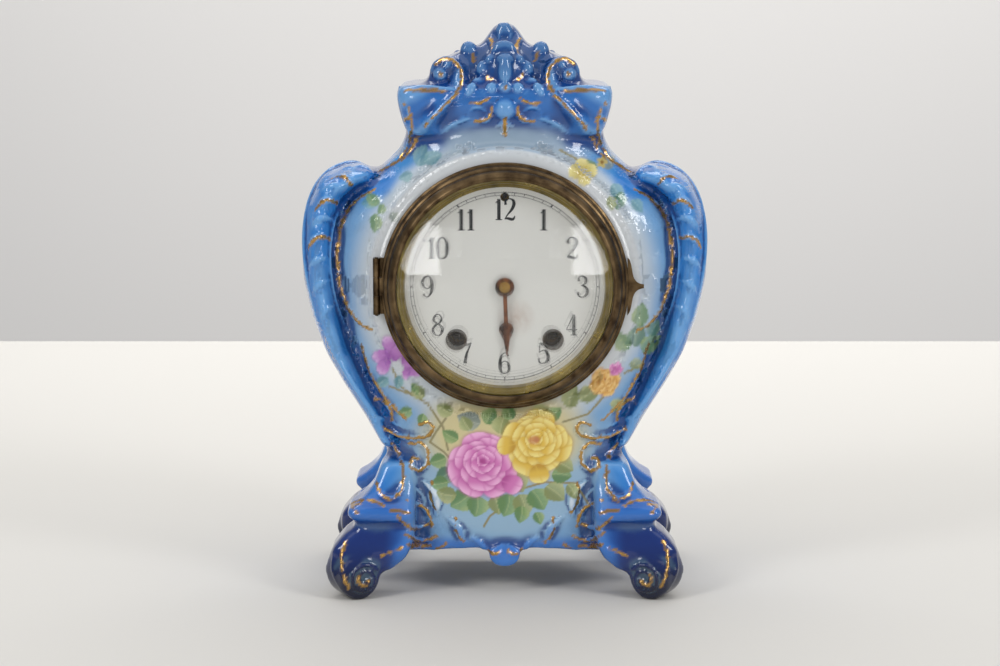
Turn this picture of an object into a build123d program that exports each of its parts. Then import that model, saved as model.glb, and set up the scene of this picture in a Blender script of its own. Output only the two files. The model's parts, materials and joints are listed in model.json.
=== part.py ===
from build123d import *
import math
import os
from itertools import accumulate

# Porcelain mantel clock. Millimetres, +Z up, front towards -Y, origin on the
# surface it stands on, at the middle of the four feet.

# Porcelain case
WALL = 6.0
BODY_SIDES = 36
FRONT_SQUARENESS, BACK_SQUARENESS = 2.8, 5.0
# Levels of the body: height, half width, reach to the front, reach to the back
BODY_LEVELS = [
    (15.0, 55.0, 40.0, 37.0),
    (38.0, 57.5, 42.5, 39.0),
    (50.0, 57.0, 43.0, 39.0),
    (66.0, 59.0, 44.5, 38.5),
    (83.0, 65.5, 45.5, 39.0),
    (100.0, 75.0, 46.0, 40.5),
    (120.0, 84.5, 46.0, 41.5),
    (142.0, 91.0, 46.0, 41.5),
    (164.0, 92.5, 45.5, 41.5),
    (184.0, 88.5, 44.0, 41.0),
    (198.0, 77.0, 41.0, 38.0),
    (208.0, 62.0, 37.0, 34.0),
    (217.0, 52.5, 33.0, 30.5),
    (226.0, 48.5, 30.0, 28.0),
    (236.0, 48.5, 29.0, 27.0),
]
CAVITY_TOP = 217.0
# Side scrolls: centre x, y, z, half thickness, half depth
EAR_STATIONS = [
    (64.6, -6.0, 205.2, 1.5, 15.0),
    (66.5, -6.0, 205.4, 3.6, 20.0),
    (75.0, -6.0, 204.8, 6.4, 27.0),
    (84.0, -6.0, 199.5, 8.2, 31.0),
    (89.8, -5.0, 188.0, 9.4, 34.0),
    (91.3, -4.0, 172.0, 10.0, 36.0),
    (90.5, -4.0, 155.0, 10.0, 37.0),
    (87.3, -4.0, 138.0, 9.2, 37.0),
    (82.2, -4.0, 121.0, 8.2, 36.5),
    (74.6, -4.0, 106.0, 7.4, 35.5),
    (65.2, -4.0, 89.0, 6.0, 34.0),
    (58.4, -3.0, 72.8, 4.0, 31.0),
]
# Cornice and crest: height, half width, reach to the front, reach to the back
CORNICE_LEVELS = [
    (226.0, 48.2, 29.0, 26.0),
    (237.7, 51.7, 31.5, 27.0),
    (245.7, 53.2, 33.5, 28.0),
    (249.4, 52.2, 32.5, 27.5),
    (250.6, 46.5, 28.0, 24.0),
]
CREST_LEVELS = [
    (250.0, 38.5, 24.0, 16.0),
    (256.5, 36.5, 23.0, 15.0),
    (262.0, 31.5, 21.0, 13.0),
    (266.3, 21.5, 19.0, 11.0),
    (269.5, 11.0, 17.0, 9.0),
    (275.5, 7.4, 14.0, 6.0),
    (280.0, 3.4, 9.0, 2.0),
]
CREST_SCROLL = [
    (43.0, -27.0, 226.0, 1.6, 2.0),
    (38.0, -30.5, 232.0, 2.6, 3.6),
    (30.0, -31.0, 240.5, 3.0, 4.2),
    (23.5, -29.0, 249.5, 3.2, 4.6),
    (21.8, -26.0, 257.5, 3.4, 4.8),
    (26.5, -23.5, 262.2, 3.2, 4.6),
    (33.0, -22.5, 261.0, 2.8, 4.0),
    (36.2, -22.0, 255.5, 2.2, 3.2),
]
VOLUTE_AT, VOLUTE_R = (31.0, -23.0, 254.5), 4.6
CARTOUCHE_AT, CARTOUCHE_R = (0.0, -21.0, 256.0), (12.5, 10.5, 13.5)
CREST_KNOB_AT, CREST_KNOB_R = (17.0, -15.0, 262.8), 5.0
SCROLL_SIDES, SMALL_SIDES = 18, 10

# Corner legs: height, inner x, outer x, front y, rear y
LEG_LEVELS = [
    (66.0, 44.0, 60.5, -41.0, -16.0),
    (54.0, 44.0, 65.0, -44.5, -16.0),
    (47.0, 44.0, 72.0, -49.0, -18.0),
    (43.5, 44.0, 78.0, -53.0, -20.0),
    (39.5, 44.0, 77.5, -52.5, -20.0),
    (36.5, 44.0, 70.2, -47.5, -20.0),
    (32.0, 44.0, 78.5, -50.0, -22.0),
    (24.0, 46.0, 85.5, -53.0, -24.0),
    (13.0, 52.0, 86.0, -51.0, -26.0),
]
LEG_EDGE = 4.0
# Rolled foot: the face turns inwards, and the roll widens towards its back
FOOT_X, FOOT_Y = 70.0, -55.5
FOOT_TURN = 25.0
FOOT_FACE_R, FOOT_BACK_R = 10.2, 13.6
FOOT_LENGTH = 18.0
FOOT_FLAT = 0.4
FOOT_SIDES = 20
FOOT_EYE_R, FOOT_EYE_PROUD = 3.6, 1.2
FOOT_GROOVE = (5.2, 7.6, 1.6)
# Open arch below the apron: half widths and heights of its outline
ARCH_HALF, ARCH_SPRING, ARCH_SHOULDER, ARCH_TOP = 58.5, 9.0, 17.0, 22.5
SIDE_ARCH_HALF, SIDE_ARCH_TOP = 24.0, 24.0
SHELL_LOBES, SHELL_R, SHELL_SPREAD = 5, 3.4, 118.0
SHELL_Z = 21.5

# Dial opening, bezel and dial
DIAL_Z = 154.0
SEAT_Y = -42.0
BOSS_R = 67.0
BOSS_EDGE = 3.0
BORE_R = 52.5
REAR_SEAT_Y = 42.0
REAR_BOSS_R = 61.0
RING_T = 1.4
RING_R = 60.0
SPIGOT_FIT = 0.2
SPIGOT_T = 1.3
LEDGE_R = 46.5
LEDGE_T = 2.0
PAN_R, PAN_T = 52.4, 0.8
DIAL_R, DIAL_T = 49.4, 1.4
EYELET_R, EYELET_HOLE_R, EYELET_T = 5.2, 4.1, 0.5
REGULATOR_HOLE_R = 2.1
CENTRE_HOLE_R = 3.2
BEZEL_R = 60.2
BEZEL_DEPTH = 12.3
BEZEL_INNER_R = 53.4
BEZEL_LIP_R = 52.4
DOOR_GAP = 0.3
GLASS_T, GLASS_DOME = 1.6, 4.4
SIGHT_R = 48.6
SIGHT_T = 0.7
SIGHT_GAP = 0.4
HINGE_X, HINGE_R, HINGE_PIN_R = 62.2, 1.7, 0.8
HINGE_H = 27.4
HINGE_PIN_FIT = 0.05
KNUCKLE_GAP = 0.25
TAB_REACH, TAB_HALF, TAB_T = 67.6, 14.2, 1.2

# Movement
PLATE_R = 48.8
PLATE_T = 1.8
PLATE_FRONT_Y = -34.0
PLATE_SPACE = 26.0
PILLAR_R, PILLAR_RING, PILLAR_ANGLES = 2.2, 45.2, (78.0, 178.0, 248.0, 292.0)
NUT_R, NUT_T = 3.0, 2.0
WIND_X, WIND_DROP = 23.5, 26.0
REGULATOR_RISE = 43.6
BACKLASH = 0.08
PIVOT_FIT = 0.05
ARBOR_R = 1.0
FINE_ARBOR_R = 0.6
# Wheels: teeth and module. Pinions take the module of the wheel that turns them.
BARREL_TEETH, BARREL_MODULE = 40, 0.66
SECOND_LEAVES, SECOND_TEETH, SECOND_MODULE = 10, 44, 0.60
MIDDLE_LEAVES, MIDDLE_TEETH, MIDDLE_MODULE = 10, 42, 0.60
CENTRE_LEAVES, CENTRE_TEETH, CENTRE_MODULE = 12, 72, 0.40
THIRD_LEAVES, THIRD_TEETH, THIRD_MODULE = 6, 75, 0.32
ESCAPE_LEAVES, ESCAPE_TEETH, ESCAPE_R = 6, 36, 8.0
STRIKE_SECOND_LEAVES, STRIKE_SECOND_TEETH, STRIKE_SECOND_MODULE = 10, 50, 0.50
PIN_LEAVES, PIN_TEETH, PIN_MODULE = 8, 54, 0.44
WARN_LEAVES, WARN_TEETH, WARN_MODULE = 6, 48, 0.40
FLY_LEAVES = 6
WHEEL_T = 1.2
BARREL_R, BARREL_DEPTH, BARREL_WALL = 12.2, 13.0, 0.9
BARREL_WHEEL_T = 2.0
DRUM_SIDES = 24
SPRING_TURNS, SPRING_STEPS, SPRING_STRIP = 4, 8, 0.6
CANNON_TEETH, MINUTE_TEETH, MOTION_MODULE = 12, 36, 0.50
MINUTE_LEAVES, HOUR_TEETH = 10, 40
CANNON_R, HOUR_PIPE_R, PIPE_FIT = 1.7, 2.6, 0.06
RATCHET_TEETH, RATCHET_R, RATCHET_T = 16, 7.2, 1.3
CLICK_GAP = 0.3
CLICK_REACH = 11.0
CLICK_TURN = {"time": 100.0, "strike": 80.0}
SQUARE = 3.0
WIND_END_Y = -44.6
PALLET_RISE = 10.5
PALLET_GAP = 0.6
PIN_COUNT, PIN_RING, PIN_R = 8, 9.5, 0.5
FLY_HALF = 6.8
HAND_TURN = -88.0
HAND_TIP, HAND_SPADE, HAND_SPADE_R, HAND_STEM, HAND_BOSS = 33.6, 20.8, 3.7, 0.95, 4.6
HOURS = 12
COUNT_WHEEL_R, COUNT_NOTCH = 11.6, 1.8

# Pendulum, gong and hammer
PENDULUM_Y = 8.0
ROD_R, ROD_END_Z = 0.9, 60.0
BOB_Z, BOB_R, BOB_T = 80.0, 15.5, 8.0
STRIP_T, STRIP_W = 0.2, 4.0
HOOK_SLOT = 0.45
COCK_HALF, COCK_INNER = 5.6, 3.2
COCK_HIGH, COCK_TOP = 47.2, 2.4
SLIDE_FIT, SLIDE_H = 0.15, 4.0
RACK_MODULE, REGULATOR_LEAVES = 0.40, 8
GONG_Z, GONG_Y = 70.0, 21.5
GONG_WIRE_R, GONG_PITCH, GONG_START_R, GONG_HALF_TURNS = 1.1, 5.4, 7.0, 6
GONG_BLOCK = 5.0
HAMMER_AT = (-38.5, 8.0)
HAMMER_HEAD_R, HAMMER_HEAD_L, HAMMER_GAP, HAMMER_ANGLE = 3.5, 9.0, 1.0, 130.0
STRAP_ANGLE, STRAP_W, STRAP_T = 30.0, 8.0, 1.2

# Back door
DOOR_R, DOOR_T = 51.5, 1.2
DOOR_FRAME_R, DOOR_OPENING_R, DOOR_FRAME_T = 57.5, 45.0, 1.6
DOOR_HINGE_X, DOOR_HINGE_H = 53.7, 24.0
DOOR_VENTS, DOOR_VENT_R, DOOR_VENT_RING = 8, 2.6, 26.0
LATCH_R, LATCH_ANGLE, LATCH_REST_TURN = 42.0, 0.0, 90.0

MIDDLE = (0.0, 0.0)


def front_plane(y, at=MIDDLE):
    """Drawing plane that faces the front, at a depth and a place (x, height above the dial centre)."""
    return Plane(
        origin=(at[0], y, DIAL_Z + at[1]), x_dir=(1, 0, 0), z_dir=(0, -1, 0)
    )


def slab(face, back, front, at=MIDDLE, turn=0.0):
    """A flat outline, drawn as seen from the front, given its thickness."""
    return extrude(front_plane(back, at) * Rot(0, 0, turn) * face, amount=back - front)


def disc(radius, back, front, at=MIDDLE):
    return slab(Circle(radius), back, front, at)


def hole(radius, back, front, at=MIDDLE):
    """An eight-sided hole that clears a round rod of this radius."""
    return slab(RegularPolygon(radius, 8, major_radius=False), back, front, at)


def ring(outer, inner, back, front, at=MIDDLE):
    return slab(Circle(outer) - Circle(inner), back, front, at)


def block(x0, x1, y0, y1, z0, z1):
    return Pos((x0 + x1) / 2, (y0 + y1) / 2, (z0 + z1) / 2) * Box(x1 - x0, y1 - y0, z1 - z0)


def turned(profile):
    """Revolves points (radius, y) about the dial's axis."""
    outline = Polyline(*[(r, y, DIAL_Z) for r, y in profile], close=True)
    return revolve(make_face(outline), Axis((0, 0, DIAL_Z), (0, 1, 0)))


def post(x, y, radius, z0, z1):
    """An upright round rod, such as a hinge pin."""
    return Pos(x, y, z0) * Cylinder(
        radius, z1 - z0, align=(Align.CENTER, Align.CENTER, Align.MIN)
    )


def polar(radius, degrees, about=MIDDLE):
    turn = math.radians(degrees)
    return (about[0] + radius * math.cos(turn), about[1] + radius * math.sin(turn))


def joined(pieces):
    whole = pieces[0]
    for piece in pieces[1:]:
        whole = whole + piece
    return whole


def both_sides(piece):
    return piece + mirror(piece, about=Plane.YZ)


def meet(a, ra, b, rb, side):
    """The point at distance ra from a and rb from b, on the left (1) or right (-1) of the line a to b."""
    gap = math.dist(a, b)
    along = (ra**2 - rb**2 + gap**2) / (2 * gap)
    off = side * math.sqrt(ra**2 - along**2)
    ux, uz = (b[0] - a[0]) / gap, (b[1] - a[1]) / gap
    return (a[0] + ux * along - uz * off, a[1] + uz * along + ux * off)


def pitch_r(teeth, module):
    return teeth * module / 2


def centres(module, *teeth):
    """Distance between two arbors whose wheels mesh."""
    return module * sum(teeth) / 2 + BACKLASH


# Places of the arbors, from the dial centre
TIME_WIND = (WIND_X, -WIND_DROP)
STRIKE_WIND = (-WIND_X, -WIND_DROP)
TIME_MIDDLE = polar(centres(MIDDLE_MODULE, MIDDLE_TEETH, CENTRE_LEAVES), -60.0)
TIME_SECOND = meet(
    TIME_WIND, centres(BARREL_MODULE, BARREL_TEETH, SECOND_LEAVES),
    TIME_MIDDLE, centres(SECOND_MODULE, SECOND_TEETH, MIDDLE_LEAVES), -1,
)
ESCAPE = (0.0, 24.0)
THIRD = meet(
    MIDDLE, centres(CENTRE_MODULE, CENTRE_TEETH, THIRD_LEAVES),
    ESCAPE, centres(THIRD_MODULE, THIRD_TEETH, ESCAPE_LEAVES), -1,
)
PALLET = (0.0, ESCAPE[1] + PALLET_RISE)
STRIKE_SECOND = polar(centres(BARREL_MODULE, BARREL_TEETH, STRIKE_SECOND_LEAVES), 120.0, STRIKE_WIND)
PIN_WHEEL = polar(centres(STRIKE_SECOND_MODULE, STRIKE_SECOND_TEETH, PIN_LEAVES), 64.0, STRIKE_SECOND)
WARNING = polar(centres(PIN_MODULE, PIN_TEETH, WARN_LEAVES), 75.0, PIN_WHEEL)
FLY = polar(centres(WARN_MODULE, WARN_TEETH, FLY_LEAVES), 52.0, WARNING)
MINUTE = (0.0, -centres(MOTION_MODULE, CANNON_TEETH, MINUTE_TEETH))
HOUR_MODULE = (-2 * MINUTE[1] - 2 * BACKLASH) / (MINUTE_LEAVES + HOUR_TEETH)
COUNT_LEVER = (-6.0, -36.5)

SPACE_Y = PLATE_FRONT_Y + PLATE_T
REAR_PLATE_Y = SPACE_Y + PLATE_SPACE
REAR_FACE_Y = REAR_PLATE_Y + PLATE_T
PAN_Y = SEAT_Y - RING_T
DIAL_Y = PAN_Y - PAN_T
BEZEL_BACK_Y = PAN_Y - DOOR_GAP
BEZEL_FRONT_Y = BEZEL_BACK_Y - BEZEL_DEPTH
LIP_Y = BEZEL_FRONT_Y + 2.4
SIGHT_FRONT_Y = LIP_Y + GLASS_T
SIGHT_BACK_Y = DIAL_Y - DIAL_T - SIGHT_GAP
HINGE_Y = BEZEL_BACK_Y - HINGE_R - 0.1
HAMMER_TAIL_PLANE = 11.0
SLIDE_HALF = COCK_INNER - SLIDE_FIT
BEND_Z = PALLET[1]
COCK_LOW = BEND_Z + 2.0


def depth(d):
    """Depth behind the inner face of the front plate."""
    return SPACE_Y + d


# Case


def body_section(z, half, front, back, wall=0.0):
    """One level of the body, bowed in front and squarer at the back."""
    points = []
    for i in range(BODY_SIDES):
        turn = 2 * math.pi * i / BODY_SIDES
        cos, sin = math.cos(turn), math.sin(turn)
        reach, power = (back, BACK_SQUARENESS) if sin > 0 else (front, FRONT_SQUARENESS)
        x = (half - wall) * math.copysign(abs(cos) ** (2 / power), cos)
        y = (reach - wall) * math.copysign(abs(sin) ** (2 / power), sin)
        points.append((x, y))
    return Pos(0, 0, z) * Polygon(*points, align=None)


def facets(radius, deep, sides):
    """An oval outline of straight sides."""
    turns = [2 * math.pi * i / sides for i in range(sides)]
    points = [(deep * math.cos(t), radius * math.sin(t)) for t in turns]
    return Polygon(*points, align=None)


def scroll(stations, sides):
    """A tapering scroll of oval section along stations (x, y, z, half thickness, half depth)."""
    sections = []
    for i, (x, y, z, half, deep) in enumerate(stations):
        before, after = stations[max(i - 1, 0)], stations[min(i + 1, len(stations) - 1)]
        along = Vector(after[0] - before[0], after[1] - before[1], after[2] - before[2])
        across = Vector(0, 1, 0) - along * (along.Y / along.dot(along))
        plane = Plane(origin=(x, y, z), x_dir=across.normalized(), z_dir=along)
        sections.append(plane * facets(half, deep, sides))
    return loft(sections, ruled=True)


def stepped(levels, edge):
    """A stack of rectangles (z, x0, x1, y0, y1) with eased corners, joined by straight slopes."""
    sections = []
    for z, x0, x1, y0, y1 in levels:
        wide, deep = x1 - x0, y1 - y0
        corner = min(edge, 0.45 * wide, 0.45 * deep)
        eased = []
        for i in range(4):
            mid = (wide / 2 - corner, deep / 2 - corner)
            for turn in (0, 30, 60, 90):
                x, y = polar(corner, turn + 90 * i, (0, 0))
                sx = mid[0] if i in (0, 3) else -mid[0]
                sy = mid[1] if i in (0, 1) else -mid[1]
                eased.append((x + sx, y + sy))
        sections.append(Pos((x0 + x1) / 2, (y0 + y1) / 2, z) * Polygon(*eased, align=None))
    return loft(sections, ruled=True)


def swelling(at, radii, sides=14, rows=8):
    """A smooth swelling: a ball drawn out to three radii."""
    sections = []
    for i in range(rows + 1):
        lift = -math.cos(math.pi * (i * 0.94 / rows + 0.03))
        share = math.sqrt(1 - lift**2)
        ring_at = Pos(at[0], at[1], at[2] + radii[2] * lift)
        sections.append(ring_at * facets(radii[1] * share, radii[0] * share, sides))
    return loft(sections, ruled=True)


def foot_roll():
    """The rolled front foot on the right, with its eye and groove."""
    turn = math.radians(FOOT_TURN)
    back = Vector(math.sin(turn), math.cos(turn), 0)

    def face_plane(away, radius):
        spot = Vector(FOOT_X, FOOT_Y, radius - FOOT_FLAT) + back * away
        return Plane(origin=spot, x_dir=(0, 0, 1), z_dir=-back)

    face = face_plane(0, FOOT_FACE_R)
    rear = face_plane(FOOT_LENGTH, FOOT_BACK_R)
    front_end = facets(FOOT_FACE_R, FOOT_FACE_R, FOOT_SIDES)
    roll = loft([face * front_end, rear * facets(FOOT_BACK_R, FOOT_BACK_R, FOOT_SIDES)], ruled=True)
    inner, outer, deep = FOOT_GROOVE
    groove = facets(outer, outer, FOOT_SIDES) - facets(inner, inner, FOOT_SIDES)
    roll = roll - extrude(face * groove, amount=-deep)
    return roll + extrude(face * facets(FOOT_EYE_R, FOOT_EYE_R, SMALL_SIDES), amount=FOOT_EYE_PROUD)


def corner_leg():
    leg = stepped(LEG_LEVELS, LEG_EDGE) + foot_roll()
    return leg - block(0, 200, -100, 0, -20, 0)


def shell_drop():
    """The small shell that hangs below the apron, a fan of lobes."""
    lobes = []
    for i in range(SHELL_LOBES):
        share = i / (SHELL_LOBES - 1) - 0.5
        x, z = polar(5.6, -90.0 + share * SHELL_SPREAD, (0.0, SHELL_Z - DIAL_Z))
        lobes.append(disc(SHELL_R, -39.0, -43.5, (x, z)))
    return joined(lobes)


def arch_cut():
    """The opening below the apron, from front to back, and the one from side to side."""
    outline = Polyline(
        (-ARCH_HALF, -10.0),
        (-ARCH_HALF, ARCH_SPRING),
        (-ARCH_HALF + 6.0, ARCH_SHOULDER),
        (-ARCH_HALF * 0.45, ARCH_TOP - 1.5),
        (0.0, ARCH_TOP),
        (ARCH_HALF * 0.45, ARCH_TOP - 1.5),
        (ARCH_HALF - 6.0, ARCH_SHOULDER),
        (ARCH_HALF, ARCH_SPRING),
        (ARCH_HALF, -10.0),
        close=True,
    )
    through = extrude(Plane.XZ * make_face(outline), amount=100, both=True)
    across = block(-120, 120, -SIDE_ARCH_HALF, SIDE_ARCH_HALF, -10, SIDE_ARCH_TOP)
    return through + fillet(across.edges().filter_by(Axis.X).group_by(Axis.Z)[-1], 10.0)


def porcelain_case():
    body = loft([body_section(*level) for level in BODY_LEVELS], ruled=True)
    cornice = stepped([(z, -w, w, -f, b) for z, w, f, b in CORNICE_LEVELS], 7.0)
    crest = stepped([(z, -w, w, -f, b) for z, w, f, b in CREST_LEVELS], 5.0)
    front_boss = rounded_boss(BOSS_R, SEAT_Y + 20.0, SEAT_Y)
    rear_boss = rounded_boss(REAR_BOSS_R, REAR_SEAT_Y - 18.0, REAR_SEAT_Y)
    leg = corner_leg()
    legs = both_sides(leg + mirror(leg, about=Plane.XZ))
    whole = body + both_sides(scroll(EAR_STATIONS, SCROLL_SIDES)) + front_boss + rear_boss
    whole = whole + cornice + crest + swelling(CARTOUCHE_AT, CARTOUCHE_R)
    volute = swelling(VOLUTE_AT, (VOLUTE_R, VOLUTE_R, VOLUTE_R), SMALL_SIDES, 6)
    knob = swelling(CREST_KNOB_AT, (CREST_KNOB_R, CREST_KNOB_R, CREST_KNOB_R), SMALL_SIDES, 6)
    whole = whole + both_sides(scroll(CREST_SCROLL, SMALL_SIDES) + volute + knob) + legs
    cavity_levels = [level for level in BODY_LEVELS if level[0] <= CAVITY_TOP]
    cavity = loft([body_section(*level, wall=WALL) for level in cavity_levels], ruled=True)
    whole = whole - cavity - arch_cut() + shell_drop()
    whole = whole - disc(BORE_R, -20.0, -80.0) - disc(BORE_R, 80.0, 20.0)
    whole = whole - disc(BOSS_R - BOSS_EDGE, SEAT_Y, -80.0)
    return whole - disc(REAR_BOSS_R - BOSS_EDGE, 80.0, REAR_SEAT_Y) - gong_screw_hole()


def rounded_boss(radius, inner_y, seat_y):
    """A round seat that stands out of the body, with its edge eased in two slopes."""
    out = math.copysign(BOSS_EDGE, seat_y)
    return turned(
        [
            (0.0, inner_y),
            (radius, inner_y),
            (radius, seat_y - out),
            (radius - 0.3 * BOSS_EDGE, seat_y - 0.3 * out),
            (radius - BOSS_EDGE, seat_y),
            (0.0, seat_y),
        ]
    )


def gong_screw_hole():
    return hole(2.4, 60.0, 20.0, (0.0, GONG_Z - DIAL_Z))


# Dial, bezel and rings


def knuckles(x, y, radius, height, outer):
    """Hinge knuckles about an upright pin: the two outer ones, or the middle one."""
    low, high = DIAL_Z - height / 2, DIAL_Z + height / 2
    third = height / 3
    if outer:
        spans = [(low, low + third), (high - third, high)]
    else:
        spans = [(low + third + KNUCKLE_GAP, high - third - KNUCKLE_GAP)]
    return [(post(x, y, radius, z0, z1), z0, z1) for z0, z1 in spans]


def front_mount_ring():
    """The brass ring that seats on the porcelain and carries the movement, dial and door."""
    flange = ring(RING_R, BORE_R - SPIGOT_FIT - SPIGOT_T, SEAT_Y, PAN_Y)
    spigot = ring(BORE_R - SPIGOT_FIT, BORE_R - SPIGOT_FIT - SPIGOT_T, PLATE_FRONT_Y + 1.0, SEAT_Y)
    ledge = ring(BORE_R - SPIGOT_FIT, LEDGE_R, PLATE_FRONT_Y, PLATE_FRONT_Y - LEDGE_T)
    whole = flange + spigot + ledge
    for knuckle, z0, z1 in knuckles(-HINGE_X, HINGE_Y, HINGE_R, HINGE_H, True):
        leaf = block(-HINGE_X, -BORE_R - 4.5, PAN_Y - 0.01, SEAT_Y, z0, z1)
        web = block(-HINGE_X - HINGE_R, -HINGE_X + 0.2, HINGE_Y, SEAT_Y, z0, z1)
        whole = whole + knuckle + leaf + web
    return whole - post(-HINGE_X, HINGE_Y, HINGE_PIN_R, 0, 300)


def bezel_hinge_pin():
    half = HINGE_H / 2 + 0.6
    return post(-HINGE_X, HINGE_Y, HINGE_PIN_R, DIAL_Z - half, DIAL_Z + half)


def bezel_ring():
    """The cast brass door ring, with its stepped mouldings and hinge knuckle."""
    y0, y1 = BEZEL_BACK_Y, BEZEL_FRONT_Y
    outline = [
        (BEZEL_INNER_R, y0),
        (BEZEL_R, y0),
        (BEZEL_R, y0 - 2.2),
        (BEZEL_R - 1.6, y0 - 3.4),
        (BEZEL_R - 2.2, y0 - 6.0),
        (BEZEL_R - 3.4, y0 - 7.0),
        (BEZEL_R - 3.8, y0 - 10.0),
        (BEZEL_R - 5.8, y1),
        (BEZEL_LIP_R + 0.4, y1),
        (BEZEL_LIP_R, LIP_Y),
        (BEZEL_INNER_R, LIP_Y),
    ]
    whole = turned(outline)
    reach = BEZEL_R - 1.5
    whole = whole - block(-HINGE_X - 4, -HINGE_X + HINGE_R + 0.35, y0 - 2 * HINGE_R - 0.6, y0, *hinge_span())
    for knuckle, z0, z1 in knuckles(-HINGE_X, HINGE_Y, HINGE_R, HINGE_H, False):
        leaf = block(-HINGE_X, -reach, HINGE_Y - 0.7, HINGE_Y + 0.7, z0, z1)
        whole = whole + knuckle + leaf
    return whole - post(-HINGE_X, HINGE_Y, HINGE_PIN_R + HINGE_PIN_FIT, 0, 300)


def hinge_span():
    """The height of the hinge with a little room at each end."""
    half = HINGE_H / 2 + 1.0
    return DIAL_Z - half, DIAL_Z + half


def sight_ring():
    """The gilt cone that slopes from the glass down to the dial."""
    outline = [
        (BEZEL_INNER_R - 0.05, SIGHT_FRONT_Y),
        (BEZEL_INNER_R - 0.05, SIGHT_FRONT_Y + 3.0),
        (BEZEL_INNER_R - 0.05 - SIGHT_T, SIGHT_FRONT_Y + 3.0),
        (SIGHT_R + SIGHT_T, SIGHT_BACK_Y),
        (SIGHT_R, SIGHT_BACK_Y),
        (SIGHT_R, SIGHT_BACK_Y - 0.6),
        (BEZEL_INNER_R - 0.05 - 1.2, SIGHT_FRONT_Y),
    ]
    return turned(outline)


def bezel_glass():
    """Convex glass, held between the bezel's lip and the sight ring."""
    edge = BEZEL_INNER_R - 0.1
    outer = BEZEL_LIP_R - 0.3

    def dome(radius, y, rise):
        return ThreePointArc(
            (0, y - rise, DIAL_Z), (radius * 0.72, y - rise * 0.482, DIAL_Z), (radius, y, DIAL_Z)
        )

    front = dome(outer, LIP_Y, GLASS_DOME)
    rear = dome(outer - 1.4, SIGHT_FRONT_Y, GLASS_DOME)
    outline = Wire(
        [
            front,
            Line((outer, LIP_Y, DIAL_Z), (edge, LIP_Y, DIAL_Z)),
            Line((edge, LIP_Y, DIAL_Z), (edge, SIGHT_FRONT_Y, DIAL_Z)),
            Line((edge, SIGHT_FRONT_Y, DIAL_Z), (outer - 1.4, SIGHT_FRONT_Y, DIAL_Z)),
            rear,
            Line((0, SIGHT_FRONT_Y - GLASS_DOME, DIAL_Z), (0, LIP_Y - GLASS_DOME, DIAL_Z)),
        ]
    )
    return revolve(make_face(outline), Axis((0, 0, DIAL_Z), (0, 1, 0)))


def latch_tab():
    """The ornamental pull on the free side of the bezel, an ogee with a point."""
    x0, tip, half = BEZEL_R - 0.6, TAB_REACH, TAB_HALF
    outline = Wire(
        [
            Line((x0, -half), (x0, half)),
            Spline([(x0, half), (x0 + 2.2, half * 0.55), (x0 + 3.2, half * 0.28), (tip, 0.9)]),
            Line((tip, 0.9), (tip, -0.9)),
            Spline([(tip, -0.9), (x0 + 3.2, -half * 0.28), (x0 + 2.2, -half * 0.55), (x0, -half)]),
        ]
    )
    plate = slab(make_face(outline), BEZEL_BACK_Y, BEZEL_BACK_Y - TAB_T)
    return plate - disc(BEZEL_R, BEZEL_BACK_Y + 1, BEZEL_BACK_Y - 2.2)


def dial_holes(radius_wind, radius_reg, back, front):
    cut = disc(radius_wind, back, front, TIME_WIND) + disc(radius_wind, back, front, STRIKE_WIND)
    return cut + hole(radius_reg, back, front, (0.0, REGULATOR_RISE))


def dial_pan():
    pan = disc(PAN_R, PAN_Y, DIAL_Y) - hole(CENTRE_HOLE_R, PAN_Y, DIAL_Y)
    return pan - dial_holes(EYELET_HOLE_R, REGULATOR_HOLE_R, PAN_Y, DIAL_Y)


def enamel_dial():
    """White enamel dial with holes for the arbor, the squares and the regulator."""
    edge = DIAL_Y - DIAL_T
    dial = disc(DIAL_R, DIAL_Y, edge) - hole(CENTRE_HOLE_R, DIAL_Y, edge)
    return dial - dial_holes(EYELET_HOLE_R + 0.5, REGULATOR_HOLE_R, DIAL_Y, edge)


def dial_eyelets():
    """Brass eyelets that line the two winding holes."""
    lip = DIAL_Y - DIAL_T
    eyelets = []
    for at in (TIME_WIND, STRIKE_WIND):
        sleeve = ring(EYELET_HOLE_R + 0.45, EYELET_HOLE_R, DIAL_Y, lip, at)
        rim = ring(EYELET_R, EYELET_HOLE_R, lip, lip - EYELET_T, at)
        eyelets.append(sleeve + rim)
    return joined(eyelets)


def rear_mount_ring():
    """The brass frame of the back door, with hinge knuckles, screwed to the straps."""
    y0, y1 = REAR_SEAT_Y, REAR_SEAT_Y + DOOR_FRAME_T
    frame = ring(DOOR_FRAME_R, DOOR_OPENING_R, y1, y0)
    for knuckle, z0, z1 in knuckles(-DOOR_HINGE_X, door_hinge_y(), HINGE_R, DOOR_HINGE_H, True):
        leaf = block(-DOOR_HINGE_X - HINGE_R, -DOOR_HINGE_X + HINGE_R, y1 - 0.1, door_hinge_y(), z0, z1)
        frame = frame + knuckle + leaf
    for angle in (STRAP_ANGLE, STRAP_ANGLE + 180.0):
        frame = frame - disc(1.3, y1 + 1, y0 - 1, polar(strap_screw_r(), angle))
    return frame - post(-DOOR_HINGE_X, door_hinge_y(), HINGE_PIN_R, 0, 300)


def door_hinge_y():
    return REAR_SEAT_Y + DOOR_FRAME_T + DOOR_GAP + HINGE_R


def back_hinge_pin():
    half = DOOR_HINGE_H / 2 + 0.6
    return post(-DOOR_HINGE_X, door_hinge_y(), HINGE_PIN_R, DIAL_Z - half, DIAL_Z + half)


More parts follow.
